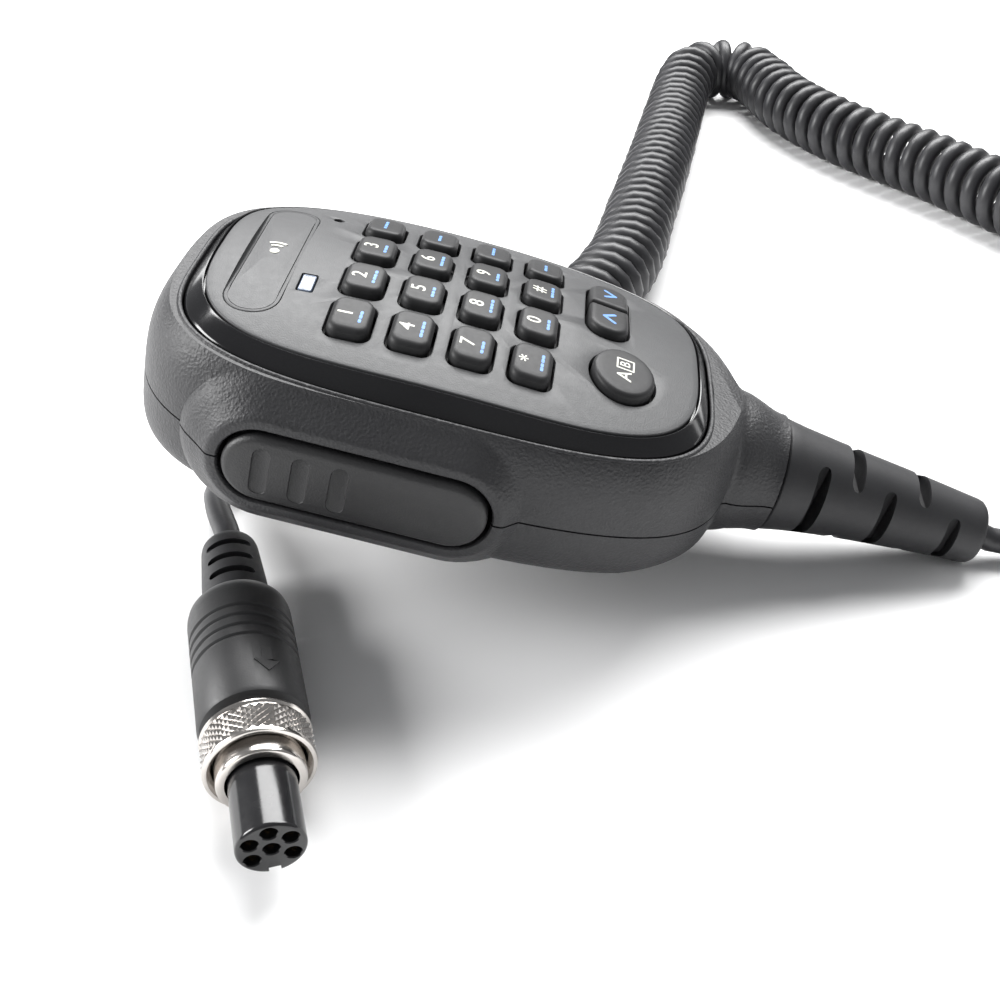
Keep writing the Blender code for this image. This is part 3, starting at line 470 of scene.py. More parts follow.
def stadium_body(steps):
    """A body of stadium outlines, each (y, how far outside the lever's own outline)."""
    return loft([[(x, y, z) for x, z in stadium(PTT_HALF_LONG + d, PTT_HALF_HIGH + d)]
                 for y, d in steps])


def box(low, high):
    (x0, y0, z0), (x1, y1, z1) = low, high
    return loft([[(x0, y0, z), (x1, y0, z), (x1, y1, z), (x0, y1, z)] for z in (z0, z1)])


GRAINED = coat("grained_black_plastic", (0.02, 0.02, 0.021), 0.5)
mottle(GRAINED, noise(GRAINED, 14.0), (0.018, 0.018, 0.020), (0.024, 0.024, 0.026))
roughen(GRAINED, noise(GRAINED, 0.8, 3.0), 0.44, 0.58)
leather = add(GRAINED, "ShaderNodeTexVoronoi", Scale=1.0 / (0.55 * MM))
GRAINED.node_tree.links.new(GRAINED.node_tree.nodes["place"].outputs["Object"],
                            leather.inputs["Vector"])
emboss(GRAINED, leather.outputs["Distance"], 0.07, 0.8)
emboss(GRAINED, noise(GRAINED, 0.4, 1.0), 0.09, 0.9)

COLLAR_FLARE = [(-24.0, 8.6), (-27.6, 7.7), (-29.0, 6.6), (-30.0, 5.5), (-30.8, 4.6), (-31.5, 3.85),
                (-32.1, 3.25), (-32.55, 2.8), (-32.85, 2.45), (-33.0, 2.1), (-33.05, 1.6)]
POCKET = [(-19.0, PTT_CLEARANCE), (-32.6, PTT_CLEARANCE), (-32.85, PTT_CLEARANCE + 0.07),
          (-33.06, PTT_CLEARANCE + 0.3), (-40.0, PTT_CLEARANCE + 0.3)]
LIP_RADIUS = 0.38
lip_rings = []
for i in range(10):
    angle = math.tau * i / 10
    out = BEZEL_WIDE + GAP + LIP_RADIUS + LIP_RADIUS * math.cos(angle)
    lip_rings.append([(x, y, RIM_Z + LIP_RADIUS * math.sin(angle) * 0.9)
                      for x, y in face_outline(out)])
for front, shell_name in ((True, "front_shell"), (False, "rear_shell")):
    cuts = [(stadium_body(COLLAR_FLARE), "UNION"), (half_body(front, WALL, 24, 8), "DIFFERENCE")]
    cuts.append((stadium_body(POCKET), "DIFFERENCE"))
    if front:
        cuts.append((box((-90, -60, RIM_Z), (90, 60, 30)), "DIFFERENCE"))
        cuts.append((loft(lip_rings, closed=True), "UNION"))
        opening = face_outline(BEZEL_WIDE + GAP)
        cuts.append((loft([[(x, y, z) for x, y in opening] for z in (-10.5, 30)]), "DIFFERENCE"))
        cuts.append((box((-90, -60, -70), (90, 60, PARTING_Z + GAP / 2)), "DIFFERENCE"))
    else:
        cuts.append((box((-90, -60, PARTING_Z - GAP / 2), (90, 60, 30)), "DIFFERENCE"))
    piece("case_" + shell_name, [(half_body(front, 0.0, 100, 34), GRAINED)], "case",
          [shell_name], cuts=cuts, corner=38)

# ------------------------------------------------------------------ the bezel
# One moulded hoop of polished black plastic.  Its outer face slopes down to the shell's
# lip, and a ledge on its inside carries the face panel.
CROWN_ACROSS, CROWN_ALONG = 98.0, 270.0
KEY_PROUD = 1.4
FACE_THICK = 1.5


def crown(x, y):
    """Height of the key tops' crowned surface."""
    return -y * y / (2 * CROWN_ACROSS) - x * x / (2 * CROWN_ALONG)


def face(x, y):
    return crown(x, y) - KEY_PROUD


GLOSS = coat("polished_black_plastic", (0.008, 0.008, 0.009), 0.10, specular=0.5)
mottle(GLOSS, noise(GLOSS, 20.0), (0.007, 0.007, 0.008), (0.010, 0.010, 0.011))
roughen(GLOSS, noise(GLOSS, 3.0, 4.0), 0.10, 0.18)
band_foot = RIM_Z + 0.15
band = [
    (GAP, lambda x, y: face(x, y) - 0.2),
    (GAP + 0.06, lambda x, y: face(x, y) - 0.06),
    (GAP + 0.2, lambda x, y: face(x, y)),
    (GAP + 0.45, lambda x, y: face(x, y) + (band_foot - face(x, y)) * 0.13),
    (BEZEL_WIDE - 0.35, lambda x, y: band_foot + (face(x, y) - band_foot) * 0.17),
    (BEZEL_WIDE - 0.08, lambda x, y: band_foot),
    (BEZEL_WIDE, lambda x, y: band_foot - 0.3),
    (BEZEL_WIDE, lambda x, y: -10.2),
    (-2.0, lambda x, y: -10.2),
]
hoop_rings = [[(x, y, height(x, y)) for x, y in face_outline(out)] for out, height in band]
inner = face_outline(GAP)
hoop_rings.append([(x, y, face(*edge) - FACE_THICK - GAP)
                   for (x, y), edge in zip(face_outline(-2.0), inner)])
hoop_rings.append([(x, y, face(x, y) - FACE_THICK - GAP) for x, y in inner])
piece("gloss_bezel", [(loft(hoop_rings, closed=True), GLOSS)], "case", ["face_bezel"])

# ------------------------------------------------------------------ the face panel
# A thin crowned plate of satin grey-black plastic.  Every key comes up through its own
# hole, and there are openings for the lamp's window and for sound to reach the capsule.
KEY_HALF_LONG, KEY_HALF_WIDE, KEY_CORNER, KEY_CLEARANCE = 3.15, 4.0, 1.3, 0.45
PITCH_ALONG, PITCH_ACROSS = 9.3, 10.35
UP_AT, DOWN_AT, AB_AT = (25.4, 3.2), (25.4, 12.4), (28.4, -10.8)
PLATE_AT = (-29.2, 0.0)
LENS_AT = (-22.2, -8.3)
CAPSULE_AT = (-22.2, 17.0)


def rounded(half_x, half_y, radius, mid_x, mid_y, steps=8):
    """A rectangle with round corners."""
    found = []
    for quarter in range(4):
        out_x = 1 if quarter in (0, 3) else -1
        out_y = 1 if quarter in (0, 1) else -1
        for i in range(steps + 1):
            angle = math.pi / 2 * (quarter + i / steps)
            found.append((mid_x + out_x * (half_x - radius) + radius * math.cos(angle),
                          mid_y + out_y * (half_y - radius) + radius * math.sin(angle)))
    return found


def crowned_sheet(outline_at, top, bottom, soft, shares):
    """A plate whose faces follow a crowned surface, with its top edge rounded over."""
    rings = []
    edge = outline_at(0.0)
    mid_x = sum(x for x, _ in edge) / len(edge)
    mid_y = sum(y for _, y in edge) / len(edge)
    for share in shares[::-1]:
        rings.append([(mid_x + (x - mid_x) * share, mid_y + (y - mid_y) * share) for x, y in edge])
    low = [[(x, y, bottom(x, y)) for x, y in ring] for ring in rings] + [
        [(x, y, bottom(x, y)) for x, y in edge]]
    over = []
    for i in range(4):
        angle = math.pi / 2 * i / 3
        over.append([(x, y, top(x, y) - soft * (1 - math.sin(angle)))
                     for x, y in outline_at(-soft * (1 - math.cos(angle)))])
    high = [[(x, y, top(x, y)) for x, y in ring] for ring in rings[::-1]]
    return loft(low + over + high)


def mouth(outline_at, soft=0.22):
    """The cutter for a hole whose top edge is eased."""
    rings = [[(x, y, -12.0) for x, y in outline_at(0.0)]]
    for out, down in ((0.0, soft), (soft * 0.3, soft * 0.3), (soft, -0.01), (soft, -4.0)):
        rings.append([(x, y, face(x, y) - down) for x, y in outline_at(out)])
    return loft(rings)


def key_outline(at):
    return lambda out: rounded(KEY_HALF_LONG + out, KEY_HALF_WIDE + out, KEY_CORNER + 0.6 + out, *at)


SATIN = coat("satin_grey_plastic", (0.045, 0.046, 0.048), 0.5)
mottle(SATIN, noise(SATIN, 16.0), (0.042, 0.043, 0.045), (0.050, 0.051, 0.053))
roughen(SATIN, noise(SATIN, 1.2, 4.0), 0.44, 0.56)
emboss(SATIN, noise(SATIN, 0.22, 1.0), 0.04, 0.8)

key_spots = [((row - 1.5) * PITCH_ALONG, (column - 1.5) * PITCH_ACROSS)
             for row in range(4) for column in range(4)]
holes = [mouth(lambda out: rounded(KEY_HALF_LONG + KEY_CLEARANCE + out,
                                   KEY_HALF_WIDE + KEY_CLEARANCE + out,
                                   KEY_CORNER + KEY_CLEARANCE + out, *spot)) for spot in key_spots]
rocker_at = ((UP_AT[0] + DOWN_AT[0]) / 2, (UP_AT[1] + DOWN_AT[1]) / 2)
holes.append(mouth(lambda out: rounded(3.9 + out, 9.35 + out, 3.45 + out, *rocker_at)))
holes.append(mouth(lambda out: outline_of(5.6 + out, 6.05 + out, 2.0, *AB_AT, 64)))
holes.append(mouth(lambda out: rounded(1.35 + out, 2.5 + out, 0.4 + out, *LENS_AT), 0.1))
holes.append(mouth(lambda out: outline_of(0.9 + out, 0.9 + out, 2.0, *CAPSULE_AT, 32), 0.12))
recess = [[(x, y, face(x, y) - down) for x, y in rounded(4.25 + out, 17.85 + out, 4.05 + out, *PLATE_AT)]
          for down, out in ((0.6, 0.0), (0.15, 0.0), (-0.01, 0.12), (-4.0, 0.12))]
holes.append(loft(recess))
piece("face_panel_satin",
      [(crowned_sheet(face_outline, face, lambda x, y: face(x, y) - FACE_THICK, 0.18,
                      (0.97, 0.88, 0.72, 0.5, 0.2)), SATIN)],
      "case", ["face_panel"], cuts=[(hole, "DIFFERENCE") for hole in holes])

# ------------------------------------------------------------------ the nameplate
# A thin satin plate that is glued in a recess at the top of the face.  A fine groove runs
# round it, and it carries a plain printed emblem of a dot with two waves.
# White for the printed signs and the emblem; the same white also paints the glint on the lamp's window.
PRINT_AND_GLINT_WHITE = coat("white_print_and_painted_glint", (0.80, 0.80, 0.74), 0.5)
mottle(PRINT_AND_GLINT_WHITE, noise(PRINT_AND_GLINT_WHITE, 0.5), (0.66, 0.66, 0.58), (0.76, 0.76, 0.68))


def draped(shape, surface, lift):
    """Lays a flat shape on a crowned surface, its top so far above it."""
    for vertex in shape.verts:
        x, y, z = vertex.co
        vertex.co.z = surface(x, y) + (lift if z > 0 else -0.15)
    return shape


def bar(start, end, wide):
    """A flat printed stroke with round ends."""
    (x0, y0), (x1, y1) = start, end
    way = math.atan2(y1 - y0, x1 - x0)
    rim = []
    for x, y, base in ((x1, y1, way - math.pi / 2), (x0, y0, way + math.pi / 2)):
        for i in range(9):
            angle = base + math.pi * i / 8
            rim.append((x + wide / 2 * math.cos(angle), y + wide / 2 * math.sin(angle)))
    return loft([[(x, y, z) for x, y in rim] for z in (-1, 1)])


def bow(mid, radius, first, last, wide, steps=20):
    """A flat printed arc."""
    inside, outside = [], []
    for i in range(steps + 1):
        angle = math.radians(first + (last - first) * i / steps)
        for reach, rim in ((radius - wide / 2, inside), (radius + wide / 2, outside)):
            rim.append((mid[0] + reach * math.cos(angle), mid[1] + reach * math.sin(angle)))
    rim = outside + inside[::-1]
    shape = bmesh.new()
    rows = [[shape.verts.new((x, y, z)) for x, y in rim] for z in (-1, 1)]
    count = len(rim)
    for i in range(count):
        j = (i + 1) % count
        shape.faces.new((rows[0][i], rows[0][j], rows[1][j], rows[1][i]))
    for row in rows:
        for i in range(steps):
            shape.faces.new((row[i], row[i + 1], row[count - 2 - i], row[count - 1 - i]))
    return shape


groove_rings = []
for out, down in ((-0.62, -0.3), (-0.62, 0.09), (-0.5, 0.09), (-0.5, -0.3)):
    groove_rings.append([(x, y, face(x, y) - down)
                         for x, y in rounded(4.2 + out, 17.8 + out, 4.0 + out, *PLATE_AT)])
emblem = [bar((PLATE_AT[0], -0.6), (PLATE_AT[0], -0.59), 1.5)]
emblem += [bow((PLATE_AT[0], -0.6), reach, 62, 118, 0.42) for reach in (1.9, 2.9)]
piece("nameplate_satin",
      [(crowned_sheet(lambda out: rounded(4.2 + out, 17.8 + out, 4.0 + out, *PLATE_AT), face,
                      lambda x, y: face(x, y) - 0.3, 0.12, (0.9, 0.6, 0.25)), SATIN)],
      "case", ["nameplate"], cuts=[(loft(groove_rings, closed=True), "DIFFERENCE")])
mark = piece("nameplate_emblem", [(draped(shape, face, 0.03), PRINT_AND_GLINT_WHITE) for shape in emblem],
             "case", [])

# ------------------------------------------------------------------ the lamp's window
# A clear moulding over the transmit lamp, with a short white bar on it that is a painted glint.
LENS = coat("clouded_lens", (0.15, 0.18, 0.25), 0.5, specular=0.3)
mottle(LENS, noise(LENS, 0.9), (0.12, 0.15, 0.21), (0.19, 0.23, 0.31))
LENS.node_tree.nodes["Principled BSDF"].inputs["Coat Weight"].default_value = 0.5
window = crowned_sheet(lambda out: rounded(1.05 + out, 2.2 + out, 0.35 + out, *LENS_AT), face,
                       lambda x, y: -8.3, 0.15, (0.7, 0.3))
# A painted highlight: a short white bar in the white of the printing, laid on the window.
glint = bar((LENS_AT[0] + 0.3, LENS_AT[1] + 1.3), (LENS_AT[0] + 0.3, LENS_AT[1] + 1.4), 0.45)
piece("lamp_window", [(window, LENS), (draped(glint, face, 0.02), PRINT_AND_GLINT_WHITE)], "case",
      ["led_lens"])

# ------------------------------------------------------------------ the keys
# Moulded keys with a matt lacquered top and a rougher wall whose darker colour is painted
# shade, each with a flange under the panel.  A number is printed on the half nearer the top,
# and a blue stroke on the other.
KEY_TOP = coat("key_top_lacquer", (0.022, 0.022, 0.023), 0.45, specular=0.28)
mottle(KEY_TOP, noise(KEY_TOP, 5.0), (0.020, 0.020, 0.021), (0.025, 0.025, 0.026))
roughen(KEY_TOP, noise(KEY_TOP, 0.7, 3.0), 0.42, 0.54)
emboss(KEY_TOP, noise(KEY_TOP, 0.14), 0.012, 0.5)
# The wall's darker colour is painted shade; its rougher finish is its own.
KEY_WALL_SHADED = coat("key_wall_painted_shade", (0.012, 0.012, 0.013), 0.6)
mottle(KEY_WALL_SHADED, noise(KEY_WALL_SHADED, 3.0), (0.010, 0.010, 0.011), (0.015, 0.015, 0.016))
MARK_BLUE = coat("blue_printing", (0.12, 0.30, 0.72), 0.5)
mottle(MARK_BLUE, noise(MARK_BLUE, 0.5), (0.11, 0.27, 0.66), (0.15, 0.34, 0.78))
FLANGE_FOOT_Z = -6.9
KEY_EASE = 0.95


def printed(text, tall, at):
    """A printed sign, upright when the microphone's top is upwards."""
    sign = bpy.data.curves.new("sign", "FONT")
    sign.body = text
    sign.size = tall
    sign.extrude = 0.5
    sign.offset = 0.008 * tall
    sign.resolution_u = 4
    sign.align_x = "CENTER"
    sign.align_y = "CENTER"
    holder = bpy.data.objects.new("sign", sign)
    scene.collection.objects.link(holder)
    bpy.context.view_layer.update()
    graph = bpy.context.evaluated_depsgraph_get()
    mesh = bpy.data.meshes.new_from_object(holder.evaluated_get(graph), depsgraph=graph)
    bpy.data.objects.remove(holder, do_unlink=True)
    shape = bmesh.new()
    shape.from_mesh(mesh)
    bpy.data.meshes.remove(mesh)
    bmesh.ops.remove_doubles(shape, verts=shape.verts, dist=1e-5)
    for vertex in shape.verts:
        x, y, z = vertex.co
        vertex.co = (at[0] - y, at[1] + x, z)
    return shape


def key_body(outline_at, ease=KEY_EASE):
    """A key's wall and flange, and its top with an eased edge, as one shape."""
    cap = outline_at(0.0)
    flange = outline_at(0.8)
    flange_top = min(face(x, y) for x, y in flange) - FACE_THICK - GAP
    mid_x = sum(x for x, _ in cap) / len(cap)
    mid_y = sum(y for _, y in cap) / len(cap)
    wall = [[(x, y, FLANGE_FOOT_Z) for x, y in flange], [(x, y, flange_top) for x, y in flange],
            [(x, y, flange_top) for x, y in cap], [(x, y, crown(x, y) - ease) for x, y in cap]]
    top = [wall[-1]]
    for i in range(1, 6):
        angle = math.pi / 2 * i / 5
        top.append([(x, y, crown(x, y) - ease * (1 - math.sin(angle)))
                    for x, y in outline_at(-ease * (1 - math.cos(angle)))])
    for share in (0.8, 0.5, 0.2):
        top.append([(mid_x + (x - mid_x) * share, mid_y + (y - mid_y) * share, 0)
                    for x, y, _ in top[5]])
        top[-1] = [(x, y, crown(x, y)) for x, y, _ in top[-1]]
    return loft(wall + top[1:])


def light_tops_shaded_walls(made, top_coat, place):
    """Gives the facets of a key that face up its lacquer; the rest keep the darker coat, which paints
    shade on the walls.
    """
    made.data.materials.append(top_coat)
    number = len(made.data.materials) - 1
    up = place.to_3x3() @ Vector((0, 0, 1))
    for facet in made.data.polygons:
        if facet.material_index == 0 and facet.normal.dot(up.normalized()) > 0.35:
            facet.material_index = number


KEY_SIGNS = [["1", "2", "3", "A"], ["4", "5", "6", "B"], ["7", "8", "9", "C"], ["*", "0", "#", "D"]]
KEY_NODES = {"*": "key_star", "#": "key_hash"}
for row in range(4):
    for column in range(4):
        sign = KEY_SIGNS[row][column]
        x, y = key_spots[4 * row + column]
        node = KEY_NODES.get(sign, "key_" + sign.lower())
        prints = []
        if column < 3:
            prints.append((draped(printed(sign, 3.3, (x - 0.85, y - 0.2)), crown, 0.025), PRINT_AND_GLINT_WHITE))
        across = x + 1.45 if column < 3 else x - 0.1
        for i in range(3 + (row + column) % 2):
            start = y - 1.75 + 0.95 * i
            stroke = bar((across, start), (across, start + 0.35 + 0.12 * ((i + row) % 2)), 0.5)
            prints.append((draped(stroke, crown, 0.025), MARK_BLUE))
        made = piece("cap_" + node, [(key_body(key_outline((x, y))), KEY_WALL_SHADED)] + prints, node,
                     [node])
        light_tops_shaded_walls(made, KEY_TOP, seat)

# ------------------------------------------------------------------ up, down and A/B keys
# The up and down keys share one rounded opening.  The round key beside them swaps between
# the two receivers.


def half_capsule(at, side):
    """Half of the pair: its outer end is round, and its inner end is nearly square."""
    def outline(out):
        found = []
        edge = at[1] - side * 4.3
        for way_x, way_y, radius, flip in ((1, side, 3.0, 0), (-1, side, 3.0, 1),
                                           (-1, -side, 0.5, 0), (1, -side, 0.5, 1)):
            radius = max(radius + out, 0.05)
            for i in range(9):
                angle = math.pi / 2 * (1 - i / 8 if flip else i / 8)
                y = at[1] + way_y * (4.3 + out - radius + radius * math.sin(angle))
                if out > 0:
                    y = max(y, edge) if side > 0 else min(y, edge)
                found.append((at[0] + way_x * (3.45 + out - radius + radius * math.cos(angle)), y))
        return found
    return outline


for node, at, side, apex in (("up_key", UP_AT, -1, -1), ("down_key", DOWN_AT, 1, 1)):
    x, y = at
    prints = [bar((x + apex * 1.0, y), (x - apex * 0.8, y + out), 0.6) for out in (1.35, -1.35)]
    made = piece("cap_" + node, [(key_body(half_capsule(at, side)), KEY_WALL_SHADED)]
                 + [(draped(shape, crown, 0.025), MARK_BLUE) for shape in prints],
                 node, [node])
    light_tops_shaded_walls(made, KEY_TOP, seat)

x, y = AB_AT
prints = [printed("A", 3.4, (x, y - 1.3)), printed("B", 2.4, (x, y + 1.5))]
frame_strokes = [((-1.35, 0.3), (1.35, 0.3)), ((-1.35, 2.7), (1.35, 2.7)),
                 ((-1.35, 0.3), (-1.35, 2.7)), ((1.35, 0.3), (1.35, 2.7))]
prints += [bar((x + a[0], y + a[1]), (x + b[0], y + b[1]), 0.28) for a, b in frame_strokes]
made = piece("cap_ab_key",
             [(key_body(lambda out: outline_of(5.15 + out, 5.6 + out, 2.0, *AB_AT, 72), 0.8),
               KEY_WALL_SHADED)] + [(draped(shape, crown, 0.025), PRINT_AND_GLINT_WHITE) for shape in prints],
             "ab_key", ["ab_key"])
light_tops_shaded_walls(made, KEY_TOP, seat)

# ------------------------------------------------------------------ the push-to-talk lever
# A long grained bar that turns on a steel pin at its cord end.  Its edge is rounded over,
# and three shallow grip bars are moulded into its face near the top end.
LEVER_IN_Y, LEVER_OUT_Y = -29.8, -34.2
LEVER_BLACK = coat("grained_black_lever", (0.018, 0.018, 0.019), 0.5)
mottle(LEVER_BLACK, noise(LEVER_BLACK, 10.0), (0.016, 0.016, 0.017), (0.021, 0.021, 0.022))
roughen(LEVER_BLACK, noise(LEVER_BLACK, 0.8, 3.0), 0.42, 0.56)
emboss(LEVER_BLACK, noise(LEVER_BLACK, 0.32, 1.0), 0.06, 0.8)
lever_steps = [(LEVER_IN_Y, 0.0), (LEVER_OUT_Y + 1.5, 0.0)]
for i in range(1, 7):
    angle = math.pi / 2 * i / 6
    lever_steps.append((LEVER_OUT_Y + 1.5 - 1.2 * math.sin(angle), -1.2 * (1 - math.cos(angle))))
lever_steps += [(LEVER_OUT_Y + 0.1, -2.2), (LEVER_OUT_Y, -3.4)]
lug = box((7.9, LEVER_IN_Y - 0.8, -21.5), (12.3, -24.6, -17.5))
cuts = [(lug, "UNION")]
pin_hole = loft([[(PIVOT.x + 1.3 * math.cos(math.tau * i / 32), PIVOT.y
                   + 1.3 * math.sin(math.tau * i / 32), z) for i in range(32)] for z in (-26, -15)])
cuts.append((pin_hole, "DIFFERENCE"))
for mid in (-21.0, -15.2, -9.4):
    dent = [(1.4, 4.2, 1.35, -36.0), (1.4, 4.2, 1.35, LEVER_OUT_Y), (1.25, 4.05, 1.2, LEVER_OUT_Y + 0.28),
            (1.05, 3.85, 1.0, LEVER_OUT_Y + 0.36)]
    cuts.append((loft([[(x, y, z) for x, z in rounded(half_x, half_z, radius, mid, PARTING_Z)]
                       for half_x, half_z, radius, y in dent]), "DIFFERENCE"))
piece("talk_lever", [(stadium_body(lever_steps), LEVER_BLACK)], "ptt", ["ptt_lever"],
      cuts=cuts)

# ------------------------------------------------------------------ the strain relief
# A soft rubber sleeve, pushed into the neck.  Slots cut across it in turn from the sides
# and from above and below let it bend with the cord.
RUBBER = coat("soft_black_rubber", (0.017, 0.017, 0.019), 0.55)
mottle(RUBBER, noise(RUBBER, 8.0), (0.015, 0.015, 0.017), (0.021, 0.021, 0.023))
roughen(RUBBER, noise(RUBBER, 1.0, 3.0), 0.48, 0.64)
emboss(RUBBER, noise(RUBBER, 0.3, 2.0), 0.03, 0.5)


RELIEF_START_X = 59.8
relief_profile = [(52.0, 2.5), (52.0, 7.6), (RELIEF_START_X, 7.6), (RELIEF_START_X, 9.3), (59.87, 9.6),
                  (60.1, 9.78), (60.4, 9.8), (62.0, 9.5), (64.0, 9.15), (67.0, 8.74), (70.0, 8.35),
                  (73.5, 7.96), (77.0, 7.6), (80.5, 7.27), (84.0, 6.95), (87.5, 6.62), (91.0, 6.3),
                  (94.5, 5.98), (96.7, 5.8), (97.4, 5.65), (97.8, 5.35), (98.0, 4.9), (98.0, 2.5),
                  (91.0, 2.5), (84.0, 2.5), (77.0, 2.5), (70.0, 2.5), (RELIEF_START_X, 2.5)]


def droop(x):
    """How far the sleeve's middle sags below the neck's axis."""
    return RELIEF_DROOP * (max(x - RELIEF_START_X, 0.0) / (RELIEF_END_X - RELIEF_START_X)) ** 2


sleeve_rings = []
for x, radius in relief_profile:
    sleeve_rings.append([(x, y, PARTING_Z - droop(x) + z)
                         for y, z in outline_of(radius, radius, 2.0, 0.0, 0.0, 96)])
cuts = []
for number in range(5):
    mid = 66.65 + 6.2 * number
    reach = 7.2 - 0.75 * number
    z = PARTING_Z - droop(mid)
    for side in (1, -1):
        low, high = sorted((side * 3.6, side * 14.0))
        if number % 2:
            rings = [[(u, v, z + far) for u, v in rounded(1.15, reach, 1.1, mid, 0.0)]
                     for far in (low, high)]
        else:
            rings = [[(u, far, v) for u, v in rounded(1.15, reach, 1.1, mid, z)]
                     for far in (low, high)]
        cuts.append((loft(rings), "DIFFERENCE"))
piece("slotted_relief", [(loft(sleeve_rings, closed=True), RUBBER)], "case",
      ["strain_relief"], cuts=cuts, corner=30)

# ------------------------------------------------------------------ the plug's boot and body
# The boot is soft rubber with three pairs of slots.  The body is a turned shell covered in
# black moulding, with fine rings near its cord end and a raised arrow towards its tip.
def lathed(profile, steps=72):
    """A turned body on the z axis, from (radius, z) points down its outside."""
    shape = bmesh.new()
    rows = []
    for radius, z in profile:
        if radius == 0:
            rows.append([shape.verts.new((0, 0, z))])
            continue
        rows.append([shape.verts.new((radius * math.cos(math.tau * i / steps),
                                      radius * math.sin(math.tau * i / steps), z))
                     for i in range(steps)])
    joins = list(zip(rows, rows[1:]))
    if profile[0][0] > 0:
        joins.append((rows[-1], rows[0]))
    for one, other in joins:
        for i in range(steps):
            j = (i + 1) % steps
            if len(one) == 1:
                shape.faces.new((one[0], other[i], other[j]))
            elif len(other) == 1:
                shape.faces.new((one[i], one[j], other[0]))
            else:
                shape.faces.new((one[i], one[j], other[j], other[i]))
    return shape


plug_seat = Matrix(((PLUG_HEADING.y * -1, 0, PLUG_HEADING.x, PLUG_AT.x * MM),
                    (PLUG_HEADING.x, 0, PLUG_HEADING.y, PLUG_AT.y * MM),
                    (0, 1, 0, PLUG_AT.z * MM), (0, 0, 0, 1))) @ Matrix.Scale(MM, 4)
boot_profile = [(0, 15.9), (5.3, 15.9), (5.3, 14.5), (5.25, 12.0), (5.2, 10.0), (4.95, 5.6), (4.7, 1.4),
                (4.55, 0.6), (4.3, 0.15), (4.0, 0.0), (0, 0.0)]
cuts = []
for number in range(3):
    for side in (1, -1):
        rings = [[(u, far, v) for v, u in rounded(0.7, 3.6, 0.65, 3.7 + 3.8 * number, 0.0, 5)]
                 for far in sorted((side * 3.2, side * 9.0))]
        cuts.append((loft(rings), "DIFFERENCE"))
piece("slotted_boot", [(lathed(boot_profile), RUBBER)], "case", ["plug_boot"],
      place=plug_seat, cuts=cuts)

PLUG_BLACK = coat("plug_black_moulding", (0.018, 0.018, 0.019), 0.48)
mottle(PLUG_BLACK, noise(PLUG_BLACK, 9.0), (0.016, 0.016, 0.017), (0.021, 0.021, 0.022))
roughen(PLUG_BLACK, noise(PLUG_BLACK, 0.9, 3.0), 0.40, 0.54)
emboss(PLUG_BLACK, noise(PLUG_BLACK, 0.35, 3.0), 0.03, 0.5)
body_profile = [(0, 42.6), (5.6, 42.6), (6.2, 42.5), (6.5, 42.1), (7.1, 41.7), (7.7, 41.3), (8.0, 40.7)]
for z in (29.9, 27.7, 25.5, 23.3):
    body_profile += [(8.0, z + 0.5), (7.9, z + 0.38), (7.66, z + 0.2), (7.62, z), (7.66, z - 0.2),
                     (7.9, z - 0.38), (8.0, z - 0.5)]
body_profile += [(8.0, 19.4), (7.93, 18.4), (7.7, 17.4), (7.3, 16.75), (6.8, 16.35), (6.3, 16.2),
                 (0, 16.2)]
ARROW_TURN = math.radians(24)
arrow_rings = []
for reach in (7.6, 8.22):
    rim = [(0.0, 37.8), (1.9, 35.5), (0.75, 35.5), (0.75, 33.0), (-0.75, 33.0), (-0.75, 35.5),
           (-1.9, 35.5)]
    ring = []
    for x, z in rim:
        angle = math.pi / 2 - ARROW_TURN - x / 8.0
        ring.append((reach * math.cos(angle), reach * math.sin(angle), z))
    arrow_rings.append(ring)
piece("plug_shell", [(lathed(body_profile, 120), PLUG_BLACK)], "case", ["plug_body"],
      place=plug_seat, cuts=[(loft(arrow_rings), "UNION")], corner=28)

# ------------------------------------------------------------------ the coupling nut
# A nickel-plated brass nut, knurled in diamonds between two plain rims.  It turns freely
# on the plug and screws onto the radio's socket by the thread inside it.
NICKEL = coat("bright_nickel", (0.66, 0.63, 0.60), 0.2, metallic=1.0)
mottle(NICKEL, noise(NICKEL, 4.0, 4.0), (0.50, 0.475, 0.45), (0.62, 0.59, 0.56))
roughen(NICKEL, noise(NICKEL, 1.2, 5.0), 0.12, 0.24)
emboss(NICKEL, noise(NICKEL, 0.5, 4.0), 0.01, 0.4)
NUT_FOOT, NUT_TIP, NUT_RADIUS, NUT_BORE = 42.9, 49.2, 7.9, 6.55
CELLS_ROUND, CELL_ROWS, KNURL_DEEP = 38, 9, 0.34
KNURL_FOOT, KNURL_TIP = NUT_FOOT + 0.75, NUT_TIP - 0.95
nut_profile = [(NUT_BORE + 0.6, NUT_TIP - 0.1), (NUT_BORE + 0.72, NUT_TIP), (NUT_RADIUS - 0.4, NUT_TIP),
               (NUT_RADIUS - 0.1, NUT_TIP - 0.12), (NUT_RADIUS, NUT_TIP - 0.4),
               (NUT_RADIUS, NUT_TIP - 0.7)]
knurl_rows = []
for j in range(CELL_ROWS + 1):
    knurl_rows.append(len(nut_profile))
    nut_profile.append((None, KNURL_TIP + (KNURL_FOOT - KNURL_TIP) * j / CELL_ROWS))
nut_profile += [(NUT_RADIUS, NUT_FOOT + 0.5), (NUT_RADIUS, NUT_FOOT + 0.3),
                (NUT_RADIUS - 0.35, NUT_FOOT), (NUT_BORE, NUT_FOOT)]
for i in range(17):
    deeper = 0.3 if i % 4 > 1 else 0.0
    nut_profile.append((NUT_BORE + deeper, NUT_FOOT + 1.0 + 4.4 * i / 16))
steps = CELLS_ROUND * 2
shape = bmesh.new()
rows = []
